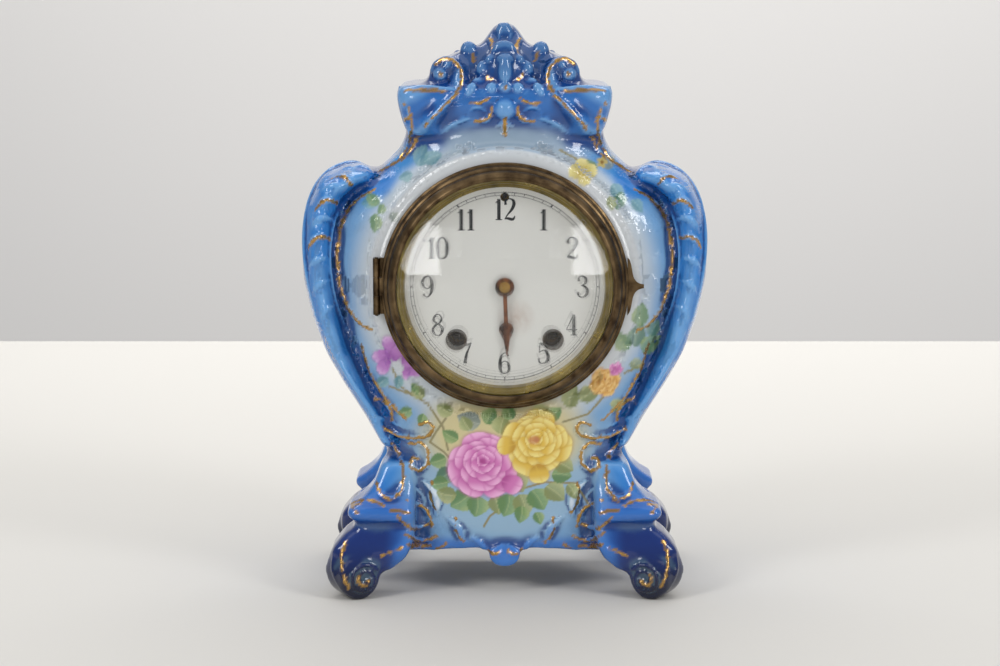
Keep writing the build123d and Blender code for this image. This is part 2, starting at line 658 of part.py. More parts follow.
def back_door_plate():
    """Round brass back door with a ring of sound holes."""
    y0 = REAR_SEAT_Y + DOOR_FRAME_T + DOOR_GAP
    plate = disc(DOOR_R, y0 + DOOR_T, y0)
    for i in range(DOOR_VENTS):
        spot = polar(DOOR_VENT_RING, 360.0 * (i + 0.5) / DOOR_VENTS)
        plate = plate - hole(DOOR_VENT_R, y0 + DOOR_T, y0, spot)
    plate = plate - disc(1.5 + PIVOT_FIT, y0 + DOOR_T, y0, polar(LATCH_R, LATCH_ANGLE))
    low, high = DIAL_Z - DOOR_HINGE_H / 2 - 0.5, DIAL_Z + DOOR_HINGE_H / 2 + 0.5
    plate = plate - block(-DOOR_R - 1, -DOOR_HINGE_X + HINGE_R + 0.35, y0 - 1, y0 + 4, low, high)
    for knuckle, z0, z1 in knuckles(-DOOR_HINGE_X, door_hinge_y(), HINGE_R, DOOR_HINGE_H, False):
        leaf = block(-DOOR_HINGE_X, -DOOR_HINGE_X + 5.0, y0, y0 + DOOR_T, z0, z1)
        plate = plate + knuckle + leaf
    return plate - post(-DOOR_HINGE_X, door_hinge_y(), HINGE_PIN_R + HINGE_PIN_FIT, 0, 300)


def back_latch():
    """Knob, spindle and tongue that hold the back door shut; the tongue stands free of the frame."""
    y0 = REAR_SEAT_Y + DOOR_FRAME_T + DOOR_GAP
    at = polar(LATCH_R, LATCH_ANGLE)
    knob = disc(3.8, y0 + DOOR_T + 4.6, y0 + DOOR_T + 1.2, at)
    neck = disc(1.9, y0 + DOOR_T + 1.2, y0 + DOOR_T + 0.2, at)
    spindle = disc(1.5, y0 + DOOR_T + 0.2, REAR_SEAT_Y - 1.5, at)
    tongue = slab(
        Pos(2.6, 0) * SlotOverall(9.6, 3.6), REAR_SEAT_Y - 0.4, REAR_SEAT_Y - 1.5, at, LATCH_REST_TURN
    )
    return knob + neck + spindle + tongue


def strap_screw_r():
    return BORE_R - SPIGOT_FIT - SPIGOT_T - 3.6


def strap_outer_r():
    inner = BORE_R - SPIGOT_FIT - SPIGOT_T
    return math.sqrt(inner**2 - (STRAP_W / 2) ** 2) - 0.02


def clamp_straps():
    """Two steel straps from the front ring to the back frame, with tabs for the screws."""
    outer = strap_outer_r()
    end = REAR_SEAT_Y - 3.2
    straps = []
    for angle in (STRAP_ANGLE, STRAP_ANGLE + 180.0):
        bar = slab(
            Pos(outer - STRAP_T / 2, 0) * Rectangle(STRAP_T, STRAP_W), end, PLATE_FRONT_Y, turn=angle
        )
        tab = slab(
            Pos(outer - 3.4, 0) * Rectangle(6.8, STRAP_W), end, end - 1.8, turn=angle
        )
        tab = tab - disc(1.2, end + 1, end - 3, polar(strap_screw_r(), angle))
        straps.append(bar + tab)
    return joined(straps)


def strap_screws():
    """Screws through the back frame into the straps."""
    y1 = REAR_SEAT_Y + DOOR_FRAME_T
    screws = []
    for angle in (STRAP_ANGLE, STRAP_ANGLE + 180.0):
        at = polar(strap_screw_r(), angle)
        screws.append(disc(1.15, y1 - 0.6, REAR_SEAT_Y - 6.0, at))
    return screws


# Wheels and plates


def toothed(teeth, module, pointed=True, turn=0.0):
    """Outline of a wheel: pointed teeth on a wheel, square-ended leaves on a pinion."""
    pitch = pitch_r(teeth, module)
    root, tip = pitch - 1.15 * module, pitch + (0.95 if pointed else 0.75) * module
    step = 360.0 / teeth
    points = []
    for i in range(teeth):
        a = turn + i * step
        if pointed:
            points += [polar(root, a - 0.27 * step), polar(tip, a), polar(root, a + 0.27 * step)]
        else:
            points += [polar(root, a - 0.20 * step), polar(tip, a - 0.10 * step)]
            points += [polar(tip, a + 0.10 * step), polar(root, a + 0.20 * step)]
    return Polygon(*points, align=None)


def crossed(face, rim, hub, spokes=4):
    """Cuts the spaces between the spokes of a wheel."""
    gap = 360.0 / spokes
    for i in range(spokes):
        a0, a1 = i * gap + 9.0, (i + 1) * gap - 9.0
        lean = math.degrees(math.asin(min(0.9, rim * math.sin(math.radians(9.0)) / hub)))
        mid = (a0 + a1) / 2
        points = [polar(rim, a0), polar(rim, mid - 12), polar(rim, mid + 12), polar(rim, a1)]
        points += [polar(hub, (i + 1) * gap - lean), polar(hub, i * gap + lean)]
        if lean < gap / 2 - 2:
            face = face - Polygon(*points, align=None)
    return face


def wheel(at, teeth, module, d, turn=0.0, thick=WHEEL_T):
    """A crossed-out wheel at a depth between the plates."""
    pitch = pitch_r(teeth, module)
    face = crossed(toothed(teeth, module, True, turn), pitch - 2.6 * module - 0.6, 3.6)
    return slab(face, depth(d) + thick, depth(d), at)


def pinion(at, leaves, module, d0, d1, turn=0.0):
    return slab(toothed(leaves, module, False, turn), depth(d1), depth(d0), at)


def mesh_turn(wheel_at, wheel_teeth, pinion_at, leaves, wheel_turn=0.0):
    """Angle at which a pinion's gap faces the tooth that the wheel holds towards it."""
    line = math.degrees(math.atan2(pinion_at[1] - wheel_at[1], pinion_at[0] - wheel_at[0]))
    phase = ((line - wheel_turn) / (360.0 / wheel_teeth)) % 1.0
    return line + 180.0 + (0.5 + phase) * 360.0 / leaves


def arbor(at, radius=ARBOR_R, front=None, back=None):
    """A steel arbor whose pivots run in both plates."""
    front = PLATE_FRONT_Y + 0.3 if front is None else front
    back = REAR_FACE_Y - 0.3 if back is None else back
    return disc(radius, back, front, at)


ARBORS = {
    "time_wind": (TIME_WIND, SQUARE * 0.75),
    "strike_wind": (STRIKE_WIND, SQUARE * 0.75),
    "time_second": (TIME_SECOND, ARBOR_R),
    "time_middle": (TIME_MIDDLE, ARBOR_R),
    "centre": (MIDDLE, ARBOR_R),
    "third": (THIRD, FINE_ARBOR_R),
    "escape": (ESCAPE, FINE_ARBOR_R),
    "pallet": (PALLET, FINE_ARBOR_R),
    "regulator": ((0.0, REGULATOR_RISE), ARBOR_R),
    "strike_second": (STRIKE_SECOND, ARBOR_R),
    "pin": (PIN_WHEEL, ARBOR_R),
    "warning": (WARNING, FINE_ARBOR_R),
    "fly": (FLY, FINE_ARBOR_R),
    "hammer": (HAMMER_AT, ARBOR_R),
    "count": (COUNT_LEVER, ARBOR_R),
}


def movement_plate(front):
    """A round brass plate with a pivot hole for each arbor."""
    plate = disc(PLATE_R, front + PLATE_T, front)
    for at, radius in ARBORS.values():
        plate = plate - hole(radius + PIVOT_FIT, front + PLATE_T, front, at)
    for angle in PILLAR_ANGLES:
        plate = plate - hole(1.2, front + PLATE_T, front, polar(PILLAR_RING, angle))
    notch = strap_outer_r() - STRAP_T - 0.3
    for angle in (STRAP_ANGLE, STRAP_ANGLE + 180.0):
        cut = Pos(notch + 5, 0) * Rectangle(10, STRAP_W + 0.6)
        plate = plate - slab(cut, front + PLATE_T, front, turn=angle)
    return plate


def plate_pillars():
    """Turned pillars that hold the plates apart, with a screwed end at the back."""
    pillars = []
    for angle in PILLAR_ANGLES:
        at = polar(PILLAR_RING, angle)
        body = hole(PILLAR_R, REAR_PLATE_Y, SPACE_Y, at)
        ends = hole(1.2, REAR_FACE_Y + NUT_T, PLATE_FRONT_Y, at)
        pillars.append(body + ends)
    return pillars


def pillar_nuts():
    nuts = []
    for angle in PILLAR_ANGLES:
        at = polar(PILLAR_RING, angle)
        face = RegularPolygon(NUT_R, 6) - RegularPolygon(1.2, 8, major_radius=False)
        nuts.append(slab(face, REAR_FACE_Y + NUT_T, REAR_FACE_Y, at))
    return nuts


def barrel(at, turn=0.0):
    """A spring barrel: the great wheel with a drum behind it and a cap."""
    y0 = depth(2.0)
    wheel_face = toothed(BARREL_TEETH, BARREL_MODULE, True, turn)
    eye = RegularPolygon(SQUARE * 0.75 + PIVOT_FIT, 8, major_radius=False)
    great = slab(wheel_face - eye, y0 + BARREL_WHEEL_T, y0, at)
    wall = RegularPolygon(BARREL_R, DRUM_SIDES)
    bore = RegularPolygon(BARREL_R - BARREL_WALL, DRUM_SIDES)
    back = y0 + BARREL_WHEEL_T + BARREL_DEPTH
    drum = slab(wall - bore, back, y0 + BARREL_WHEEL_T, at)
    cap = slab(wall - eye, back + 1.0, back, at)
    return great + drum + cap


def mainspring(at):
    """A flat spiral strip inside the barrel, from the arbor out to the drum."""
    drum = (BARREL_R - BARREL_WALL) * math.cos(math.pi / DRUM_SIDES)
    inner, outer = SQUARE * 0.75 + 0.5, drum - SPRING_STRIP - 0.05
    steps = SPRING_TURNS * SPRING_STEPS

    def edge(extra):
        points = []
        for i in range(steps + 1):
            radius = inner + (outer - inner) * i / steps + extra
            points.append(polar(radius, 360.0 * SPRING_TURNS * i / steps))
        return points

    face = Polygon(*(edge(SPRING_STRIP) + edge(0.0)[::-1]), align=None)
    y0 = depth(2.0) + BARREL_WHEEL_T + 0.5
    return slab(face, y0 + BARREL_DEPTH - 1.0, y0, at)


def winding_arbor(at):
    """The arbor inside the barrel, squared at the front for the key."""
    body = disc(SQUARE * 0.75, REAR_FACE_Y - 0.3, PLATE_FRONT_Y - 2.4, at)
    square = slab(Rectangle(SQUARE, SQUARE), PLATE_FRONT_Y - 2.4, WIND_END_Y, at)
    return body + square


def ratchet(at):
    step = 360.0 / RATCHET_TEETH
    points = []
    for i in range(RATCHET_TEETH):
        points += [polar(RATCHET_R, i * step), polar(RATCHET_R - 1.3, i * step + 1.5)]
    face = Polygon(*points, align=None) - Circle(SQUARE * 0.75)
    return slab(face, PLATE_FRONT_Y - 0.4, PLATE_FRONT_Y - 0.4 - RATCHET_T, at)


def click_at(side):
    at = TIME_WIND if side == "time" else STRIKE_WIND
    return polar(CLICK_REACH, CLICK_TURN[side], at)


def click(side):
    """The pawl that drops into the ratchet, on a shouldered screw in the front plate."""
    at = TIME_WIND if side == "time" else STRIKE_WIND
    spot = click_at(side)
    turn = CLICK_TURN[side] + (30.0 if side == "time" else -30.0)
    tip = polar(RATCHET_R + CLICK_GAP + 0.7, turn, at)
    local = (tip[0] - spot[0], tip[1] - spot[1])
    face = make_hull(
        (Circle(1.9).edges() + (Pos(*local) * Circle(0.7)).edges())
    )
    body = slab(face, PLATE_FRONT_Y - 0.3, PLATE_FRONT_Y - 0.3 - RATCHET_T, spot)
    return body - disc(1.0 + PIVOT_FIT, PLATE_FRONT_Y, PLATE_FRONT_Y - 4, spot)


def click_screws():
    screws = []
    for side in CLICK_TURN:
        spot = click_at(side)
        shank = disc(1.0, PLATE_FRONT_Y, PLATE_FRONT_Y - 1.9, spot)
        head = disc(1.8, PLATE_FRONT_Y - 1.9, PLATE_FRONT_Y - 2.7, spot)
        screws.append(shank + head)
    return screws


def centre_wheel():
    """The centre arbor, which turns once an hour, with its wheel and pinion."""
    rod = arbor(MIDDLE, front=-50.4)
    turn = mesh_turn(TIME_MIDDLE, MIDDLE_TEETH, MIDDLE, CENTRE_LEAVES)
    small = pinion(MIDDLE, CENTRE_LEAVES, MIDDLE_MODULE, 18.5, 20.7, turn)
    return rod + small + wheel(MIDDLE, CENTRE_TEETH, CENTRE_MODULE, 6.0)


def cannon_pinion():
    """The pipe that the minute hand sits on, with its pinion."""
    hole = Circle(ARBOR_R)
    pipe = slab(Circle(CANNON_R) - hole, PLATE_FRONT_Y - 1.0, -49.6)
    leaves = toothed(CANNON_TEETH, MOTION_MODULE, False, mesh_turn(MINUTE, MINUTE_TEETH, MIDDLE, CANNON_TEETH))
    return pipe + slab(leaves - hole, PLATE_FRONT_Y - 1.6, PLATE_FRONT_Y - 4.0)


def minute_wheel():
    """The wheel between the cannon pinion and the hour wheel, on a stud."""
    back, front = PLATE_FRONT_Y - 2.2, PLATE_FRONT_Y - 3.4
    face = toothed(MINUTE_TEETH, MOTION_MODULE, True) - Circle(1.0 + PIVOT_FIT)
    turn = mesh_turn(MIDDLE, HOUR_TEETH, MINUTE, MINUTE_LEAVES)
    leaves = toothed(MINUTE_LEAVES, HOUR_MODULE, False, turn) - Circle(1.0 + PIVOT_FIT)
    return slab(face, back, front, MINUTE) + slab(leaves, front, front - 3.4, MINUTE)


def minute_stud():
    return disc(1.0, PLATE_FRONT_Y, PLATE_FRONT_Y - 7.4, MINUTE)


def hour_wheel():
    """The hour wheel and the pipe that carries the hour hand."""
    hole = Circle(CANNON_R + PIPE_FIT)
    back = PLATE_FRONT_Y - 4.6
    face = toothed(HOUR_TEETH, HOUR_MODULE, True)
    return slab(face - hole, back, back - 1.2) + slab(Circle(HOUR_PIPE_R) - hole, back - 1.2, -48.4)


def hour_hand():
    """Blued steel hour hand: round boss, straight stem and a pointed spade."""
    boss = Circle(HAND_BOSS)
    stem = Pos(HAND_SPADE / 2, 0) * Rectangle(HAND_SPADE, 2 * HAND_STEM)
    wing = HAND_SPADE - HAND_SPADE_R
    edge = [
        (wing, 0.6),
        (wing + 0.45 * HAND_SPADE_R, 0.8 * HAND_SPADE_R),
        (HAND_SPADE, HAND_SPADE_R),
        (HAND_SPADE + 0.6 * HAND_SPADE_R, 0.78 * HAND_SPADE_R),
        (HAND_SPADE + 1.4 * HAND_SPADE_R, 0.4 * HAND_SPADE_R),
        (HAND_TIP, 0.35),
    ]
    spade = Polygon(*(edge + [(x, -y) for x, y in edge[::-1]]), align=None)
    face = boss + stem + spade - Circle(HOUR_PIPE_R)
    return slab(face, -47.5, -48.3, turn=HAND_TURN)


def time_second_wheel():
    turn = mesh_turn(TIME_WIND, BARREL_TEETH, TIME_SECOND, SECOND_LEAVES)
    small = pinion(TIME_SECOND, SECOND_LEAVES, BARREL_MODULE, 1.2, 4.8, turn)
    return arbor(TIME_SECOND) + small + wheel(TIME_SECOND, SECOND_TEETH, SECOND_MODULE, 22.5)


def time_middle_wheel():
    """The wheel between the second wheel and the centre pinion."""
    turn = mesh_turn(TIME_SECOND, SECOND_TEETH, TIME_MIDDLE, MIDDLE_LEAVES)
    small = pinion(TIME_MIDDLE, MIDDLE_LEAVES, SECOND_MODULE, 22.0, 24.2, turn)
    return arbor(TIME_MIDDLE) + small + wheel(TIME_MIDDLE, MIDDLE_TEETH, MIDDLE_MODULE, 19.0)


def third_wheel():
    turn = mesh_turn(MIDDLE, CENTRE_TEETH, THIRD, THIRD_LEAVES)
    small = pinion(THIRD, THIRD_LEAVES, CENTRE_MODULE, 5.5, 7.7, turn)
    return arbor(THIRD, FINE_ARBOR_R) + small + wheel(THIRD, THIRD_TEETH, THIRD_MODULE, 16.0)


def escape_wheel():
    """Escape wheel with long pointed teeth that lean forward."""
    step = 360.0 / ESCAPE_TEETH
    points = []
    for i in range(ESCAPE_TEETH):
        points += [polar(ESCAPE_R - 1.6, i * step), polar(ESCAPE_R, i * step + 0.45 * step)]
    face = crossed(Polygon(*points, align=None), ESCAPE_R - 2.6, 1.8)
    turn = mesh_turn(THIRD, THIRD_TEETH, ESCAPE, ESCAPE_LEAVES)
    small = pinion(ESCAPE, ESCAPE_LEAVES, THIRD_MODULE, 15.5, 17.7, turn)
    return arbor(ESCAPE, FINE_ARBOR_R) + small + slab(face, depth(23.2), depth(22.0), ESCAPE)


def pallets():
    """Anchor, arbor and crutch, which rock with the pendulum."""
    reach = ESCAPE_R + PALLET_GAP
    half = ESCAPE_R * 0.78
    drop = -PALLET_RISE + math.sqrt((reach + 0.75) ** 2 - half**2)
    left, right = (-half, drop), (half, drop)
    arms = make_hull(Circle(1.7).edges() + (Pos(*left) * Circle(0.75)).edges())
    arms = arms + make_hull(Circle(1.7).edges() + (Pos(*right) * Circle(0.75)).edges())
    anchor = slab(arms, depth(23.2), depth(22.0), PALLET)
    anchor = anchor - disc(reach, depth(24), depth(21), ESCAPE)
    rod = arbor(PALLET, FINE_ARBOR_R, back=3.6)
    x, z = PALLET
    fork_z = z - 20.0
    crutch = slab(Rectangle(1.4, 20.0), 3.4, 2.4, (x, z - 10.0))
    pins = disc(0.5, PENDULUM_Y + 2.0, 2.4, (-ROD_R - 1.0, fork_z + 0.6))
    pins = pins + disc(0.5, PENDULUM_Y + 2.0, 2.4, (ROD_R + 1.0, fork_z + 0.6))
    bridge = slab(Rectangle(5.0, 1.6), 3.4, 2.4, (x, fork_z + 0.4))
    return anchor + rod + crutch + bridge + pins


# Suspension, regulator and pendulum


def suspension_cock():
    """The brass cock on the rear plate that the pendulum hangs from."""
    z0, z1 = DIAL_Z + COCK_LOW, DIAL_Z + COCK_HIGH
    back = PENDULUM_Y + 3.2
    cheeks = both_sides(block(COCK_INNER, COCK_HALF, REAR_FACE_Y, back, z0, z1))
    top = block(-COCK_HALF, COCK_HALF, PENDULUM_Y - 3.0, back, z1 - COCK_TOP, z1)
    slit = block(-STRIP_T / 2, STRIP_T / 2, 0, 20, z1 - COCK_TOP - 1, z1 + 1)
    return cheeks + top - slit


def suspension_spring():
    """A thin steel strip from the cock to the hook of the pendulum."""
    low, high = DIAL_Z + BEND_Z - 5.0, DIAL_Z + COCK_HIGH
    half = STRIP_W / 2
    return block(-STRIP_T / 2 + 0.01, STRIP_T / 2 - 0.01, PENDULUM_Y - half, PENDULUM_Y + half, low, high)


def regulator_slide():
    """The split block that sets the working length of the spring, with its rack."""
    z0 = DIAL_Z + BEND_Z + 0.0
    body = block(-SLIDE_HALF, SLIDE_HALF, PENDULUM_Y - 2.6, PENDULUM_Y + 2.6, z0, z0 + SLIDE_H)
    body = body - block(-STRIP_T / 2 - 0.1, STRIP_T / 2 + 0.1, 0, 20, z0 - 1, z0 + SLIDE_H + 1)
    pitch_x = REGULATOR_LEAVES * RACK_MODULE / 2 + BACKLASH
    root_x = pitch_x + 1.15 * RACK_MODULE
    stem = block(root_x, SLIDE_HALF, -0.4, PENDULUM_Y - 2.6, z0, z0 + SLIDE_H)
    rail = block(root_x, SLIDE_HALF, -0.4, 1.6, z0, z0 + 11.6)
    step = math.pi * RACK_MODULE
    middle = DIAL_Z + REGULATOR_RISE
    teeth = []
    for i in range(-2, 3):
        zc = middle + (i + 0.5) * step
        if z0 < zc - 0.5 and zc + 0.5 < z0 + 11.6:
            outline = Polyline(
                (root_x + 0.1, zc - 0.26 * step), (pitch_x - 0.7 * RACK_MODULE, zc),
                (root_x + 0.1, zc + 0.26 * step), close=True,
            )
            face = Plane(origin=(0, 1.6, 0), x_dir=(1, 0, 0), z_dir=(0, -1, 0)) * make_face(outline)
            teeth.append(extrude(face, amount=2.0))
    return body + stem + rail + joined(teeth)


def regulator_arbor():
    """The arbor above twelve that moves the slide through a small pinion."""
    at = (0.0, REGULATOR_RISE)
    rod = disc(ARBOR_R, 1.6, DIAL_Y + 0.6, at)
    return rod + slab(toothed(REGULATOR_LEAVES, RACK_MODULE, False, 0.0), 1.4, -0.2, at)


def pendulum_rod():
    """Steel rod with the brass hook that takes the suspension spring."""
    top = DIAL_Z + BEND_Z - 4.0
    hook = block(-2.2, 2.2, PENDULUM_Y - 3.0, PENDULUM_Y + 3.0, top - 6.0, top)
    hook = hook - block(-HOOK_SLOT, HOOK_SLOT, 0, 20, top - 2.0, top + 1)
    return hook + post(0, PENDULUM_Y, ROD_R, ROD_END_Z, top - 5.0)


def pendulum_bob():
    """Lens-shaped brass bob that slides on the rod."""
    half, middle = BOB_T / 2, BOB_Z - DIAL_Z
    rings = [(BOB_R * 0.55, half), (BOB_R * 0.86, half * 0.55), (BOB_R, 0.5)]
    rings = rings + [(radius, -y) for radius, y in rings[::-1]]
    sections = []
    for radius, y in rings:
        sections.append(front_plane(PENDULUM_Y + y, (0.0, middle)) * RegularPolygon(radius, DRUM_SIDES))
    return loft(sections, ruled=True) - post(0, PENDULUM_Y, ROD_R, 0, 300)


def rating_nut():
    low = BOB_Z - BOB_R - 0.05
    nut = post(0, PENDULUM_Y, 3.0, low - 2.4, low)
    return nut - post(0, PENDULUM_Y, ROD_R, 0, 300)


# Strike


def pin_wheel():
    """Strike wheel with the pins that lift the hammer."""
    turn = mesh_turn(STRIKE_SECOND, STRIKE_SECOND_TEETH, PIN_WHEEL, PIN_LEAVES)
    small = pinion(PIN_WHEEL, PIN_LEAVES, STRIKE_SECOND_MODULE, 19.5, 21.7, turn)
    whole = arbor(PIN_WHEEL) + small + wheel(PIN_WHEEL, PIN_TEETH, PIN_MODULE, 9.0)
    for i in range(PIN_COUNT):
        spot = polar(PIN_RING, 360.0 * (i + 0.5) / PIN_COUNT, PIN_WHEEL)
        whole = whole + slab(RegularPolygon(PIN_R, 6), depth(12.8), depth(9.0) + WHEEL_T, spot)
    return whole


def warning_wheel():
    turn = mesh_turn(PIN_WHEEL, PIN_TEETH, WARNING, WARN_LEAVES)
    small = pinion(WARNING, WARN_LEAVES, PIN_MODULE, 8.5, 10.9, turn)
    return arbor(WARNING, FINE_ARBOR_R) + small + wheel(WARNING, WARN_TEETH, WARN_MODULE, 14.0)


def fly():
    """The air brake: two thin vanes on the last arbor of the strike train."""
    turn = mesh_turn(WARNING, WARN_TEETH, FLY, FLY_LEAVES)
    small = pinion(FLY, FLY_LEAVES, WARN_MODULE, 13.5, 15.7, turn)
    vane = slab(Rectangle(2 * FLY_HALF, 0.5), depth(12.0), depth(2.0), FLY, 35.0)
    hub = disc(1.3, depth(8.5), depth(5.5), FLY)
    return arbor(FLY, FINE_ARBOR_R) + small + vane + hub


def count_wheel():
    """Slotted wheel that counts the blows: one for each half hour, then one to twelve."""
    blows = [0]
    for hour in range(1, HOURS + 1):
        blows += [hour, 1]
    places = list(accumulate(blows))[:-1]
    face = Circle(COUNT_WHEEL_R) - Circle(ARBOR_R)
    for place in places:
        a = 360.0 * place / (sum(blows))
        cut = Rot(0, 0, a) * Pos(COUNT_WHEEL_R, 0) * Rectangle(2 * COUNT_NOTCH, 0.6)
        face = face - cut
    return slab(face, REAR_FACE_Y + 2.4, REAR_FACE_Y + 1.2, STRIKE_SECOND)


def strike_second_wheel():
    at, leaves = STRIKE_SECOND, STRIKE_SECOND_LEAVES
    turn = mesh_turn(STRIKE_WIND, BARREL_TEETH, at, leaves)
    small = pinion(at, leaves, BARREL_MODULE, 1.2, 4.8, turn)
    whole = small + wheel(at, STRIKE_SECOND_TEETH, STRIKE_SECOND_MODULE, 20.0)
    return whole + arbor(at, back=REAR_FACE_Y + 2.4)


def count_lever():
    """Locking lever whose blade rests at the rim of the count wheel."""
    reach = math.dist(COUNT_LEVER, STRIKE_SECOND) - COUNT_WHEEL_R - 0.35
    turn = math.degrees(
        math.atan2(STRIKE_SECOND[1] - COUNT_LEVER[1], STRIKE_SECOND[0] - COUNT_LEVER[0])
    )
    arm = Pos(reach / 2, 0) * Rectangle(reach, 1.6) + Circle(2.2)
    blade = slab(arm, REAR_FACE_Y + 2.4, REAR_FACE_Y + 1.2, COUNT_LEVER, turn)
    return blade + arbor(COUNT_LEVER, back=REAR_FACE_Y + 2.4)


def coil_point(radius, degrees):
    x, z = polar(radius, degrees)
    return (x, GONG_Y, GONG_Z + z)


def gong_path():
    """Half turns about two centres, each joining the next at a tangent."""
    arcs = []
    shift = GONG_PITCH / 4
    for i in range(GONG_HALF_TURNS):
        radius = GONG_START_R + GONG_PITCH / 2 * i
        middle = shift if i % 2 == 0 else -shift
        side = 1 if i % 2 == 0 else -1
        start = (middle - side * radius, GONG_Y, GONG_Z)
        top = (middle, GONG_Y, GONG_Z + side * radius)
        end = (middle + side * radius, GONG_Y, GONG_Z)
        arcs.append(ThreePointArc(start, top, end))
    return arcs


def gong_coil():
    """Blued steel coil gong, one unbroken wire of square section wound flat."""
    arcs = gong_path()
    start = arcs[0] @ 0
    section = Plane(origin=start, x_dir=(1, 0, 0), z_dir=arcs[0] % 0) * Rectangle(2 * GONG_WIRE_R, 2 * GONG_WIRE_R)
    return sweep(section, path=Wire(arcs))


def gong_block():
    """The iron block on the back wall that grips the inner end of the coil."""
    start = gong_path()[0] @ 0
    x0, x1 = start.X - 1.9, start.X + 7.4
    wall = gong_wall_y()
    head = block(x0, x1, GONG_Y - 2.6, GONG_Y + 2.6, GONG_Z - GONG_BLOCK, GONG_Z)
    foot = block(-3.2, 3.2, GONG_Y - 2.6, wall, GONG_Z - GONG_BLOCK, GONG_Z + 2.8)
    return head + foot


def gong_wall_y():
    """Inner face of the back wall at the height of the gong, between the levels next to it."""
    above = [level for level in BODY_LEVELS if level[0] >= GONG_Z][0]
    below = [level for level in BODY_LEVELS if level[0] < GONG_Z][-1]
    share = (GONG_Z - below[0]) / (above[0] - below[0])
    return below[3] + share * (above[3] - below[3]) - WALL - 0.3


def gong_screw():
    wall = gong_wall_y() + 0.3 + WALL
    at = (0.0, GONG_Z - DIAL_Z)
    return disc(1.9, wall + 0.5, gong_wall_y(), at) + disc(4.2, wall + 2.3, wall + 0.5, at)


def hammer():
    """Hammer on its arbor: tail by the pin wheel, rod down to the gong, brass head."""
    x, z = HAMMER_AT
    rod = arbor(HAMMER_AT, back=REAR_FACE_Y + 4.0)
    toward = math.degrees(math.atan2(PIN_WHEEL[1] - z, PIN_WHEEL[0] - x))
    reach = math.dist(PIN_WHEEL, HAMMER_AT) - PIN_RING - PIN_R - 0.4
    tail = slab(
        Pos(reach / 2, 0) * Rectangle(reach, 1.6) + Circle(2.0),
        depth(HAMMER_TAIL_PLANE + 1.2), depth(HAMMER_TAIL_PLANE), HAMMER_AT, toward,
    )
    outer = coil_outer_r() + GONG_WIRE_R + HAMMER_GAP
    hub = disc(2.2, REAR_FACE_Y + 4.0, REAR_FACE_Y + 1.0, HAMMER_AT)
    face_at = coil_point(outer, HAMMER_ANGLE)
    end_at = coil_point(outer + HAMMER_HEAD_L, HAMMER_ANGLE)
    grip_at = coil_point(outer + HAMMER_HEAD_L * 0.6, HAMMER_ANGLE)
    head_line = Vector(*end_at) - Vector(*face_at)
    head = extrude(Plane(origin=face_at, z_dir=head_line) * Circle(HAMMER_HEAD_R), amount=HAMMER_HEAD_L)
    top = Vector(x, REAR_FACE_Y + 2.5, DIAL_Z + z)
    arm_line = Vector(*grip_at) - top
    arm = extrude(Plane(origin=top, z_dir=arm_line) * Circle(0.9), amount=arm_line.length)
    return rod + tail + hub + arm + head


def coil_outer_r():
    return GONG_START_R + GONG_PITCH / 2 * (GONG_HALF_TURNS - 1) + GONG_PITCH / 4


def parts():
    """Every piece by name."""
    return {
        "porcelain_case": porcelain_case(),
        "front_mount_ring": front_mount_ring(),
        "bezel_hinge_pin": bezel_hinge_pin(),
        "bezel_ring": bezel_ring(),
        "bezel_glass": bezel_glass(),
        "sight_ring": sight_ring(),
        "latch_tab": latch_tab(),
        "dial_pan": dial_pan(),
        "enamel_dial": enamel_dial(),
        "dial_eyelets": dial_eyelets(),
        "rear_mount_ring": rear_mount_ring(),
        "back_hinge_pin": back_hinge_pin(),
        "back_door_plate": back_door_plate(),
        "back_latch": back_latch(),
        "clamp_straps": clamp_straps(),
        "strap_screws": strap_screws(),
        "front_plate": movement_plate(PLATE_FRONT_Y),
        "rear_plate": movement_plate(REAR_PLATE_Y),
        "plate_pillars": plate_pillars(),
        "pillar_nuts": pillar_nuts(),
        "time_barrel": barrel(TIME_WIND),
        "time_mainspring": mainspring(TIME_WIND),
        "time_winding_arbor": winding_arbor(TIME_WIND),
        "time_ratchet": ratchet(TIME_WIND),
        "time_click": click("time"),
        "strike_barrel": barrel(STRIKE_WIND),
        "strike_mainspring": mainspring(STRIKE_WIND),
        "strike_winding_arbor": winding_arbor(STRIKE_WIND),
        "strike_ratchet": ratchet(STRIKE_WIND),
        "strike_click": click("strike"),
        "click_screws": click_screws(),
        "centre_wheel": centre_wheel(),
        "cannon_pinion": cannon_pinion(),
        "minute_wheel": minute_wheel(),
        "minute_stud": minute_stud(),
        "hour_wheel": hour_wheel(),
        "hour_hand": hour_hand(),
        "time_second_wheel": time_second_wheel(),
        "time_middle_wheel": time_middle_wheel(),
        "third_wheel": third_wheel(),
        "escape_wheel": escape_wheel(),
        "pallets": pallets(),
        "suspension_cock": suspension_cock(),
        "suspension_spring": suspension_spring(),
        "regulator_slide": regulator_slide(),
        "regulator_arbor": regulator_arbor(),
        "pendulum_rod": pendulum_rod(),
        "pendulum_bob": pendulum_bob(),
        "rating_nut": rating_nut(),
        "strike_second_wheel": strike_second_wheel(),
        "pin_wheel": pin_wheel(),
        "warning_wheel": warning_wheel(),
        "fly": fly(),
        "count_wheel": count_wheel(),
        "count_lever": count_lever(),
        "hammer": hammer(),
        "gong_coil": gong_coil(),
        "gong_block": gong_block(),
        "gong_screw": gong_screw(),
    }


os.makedirs("parts", exist_ok=True)
for name, piece in parts().items():
    if isinstance(piece, list):
        solids = [solid for item in piece for solid in item.solids()]
    else:
        solids = piece.solids()
    shape = solids[0] if len(solids) == 1 else Compound(children=list(solids))
    shape.label = name
    export_step(shape, f"parts/{name}.step")
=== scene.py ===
import json
import math

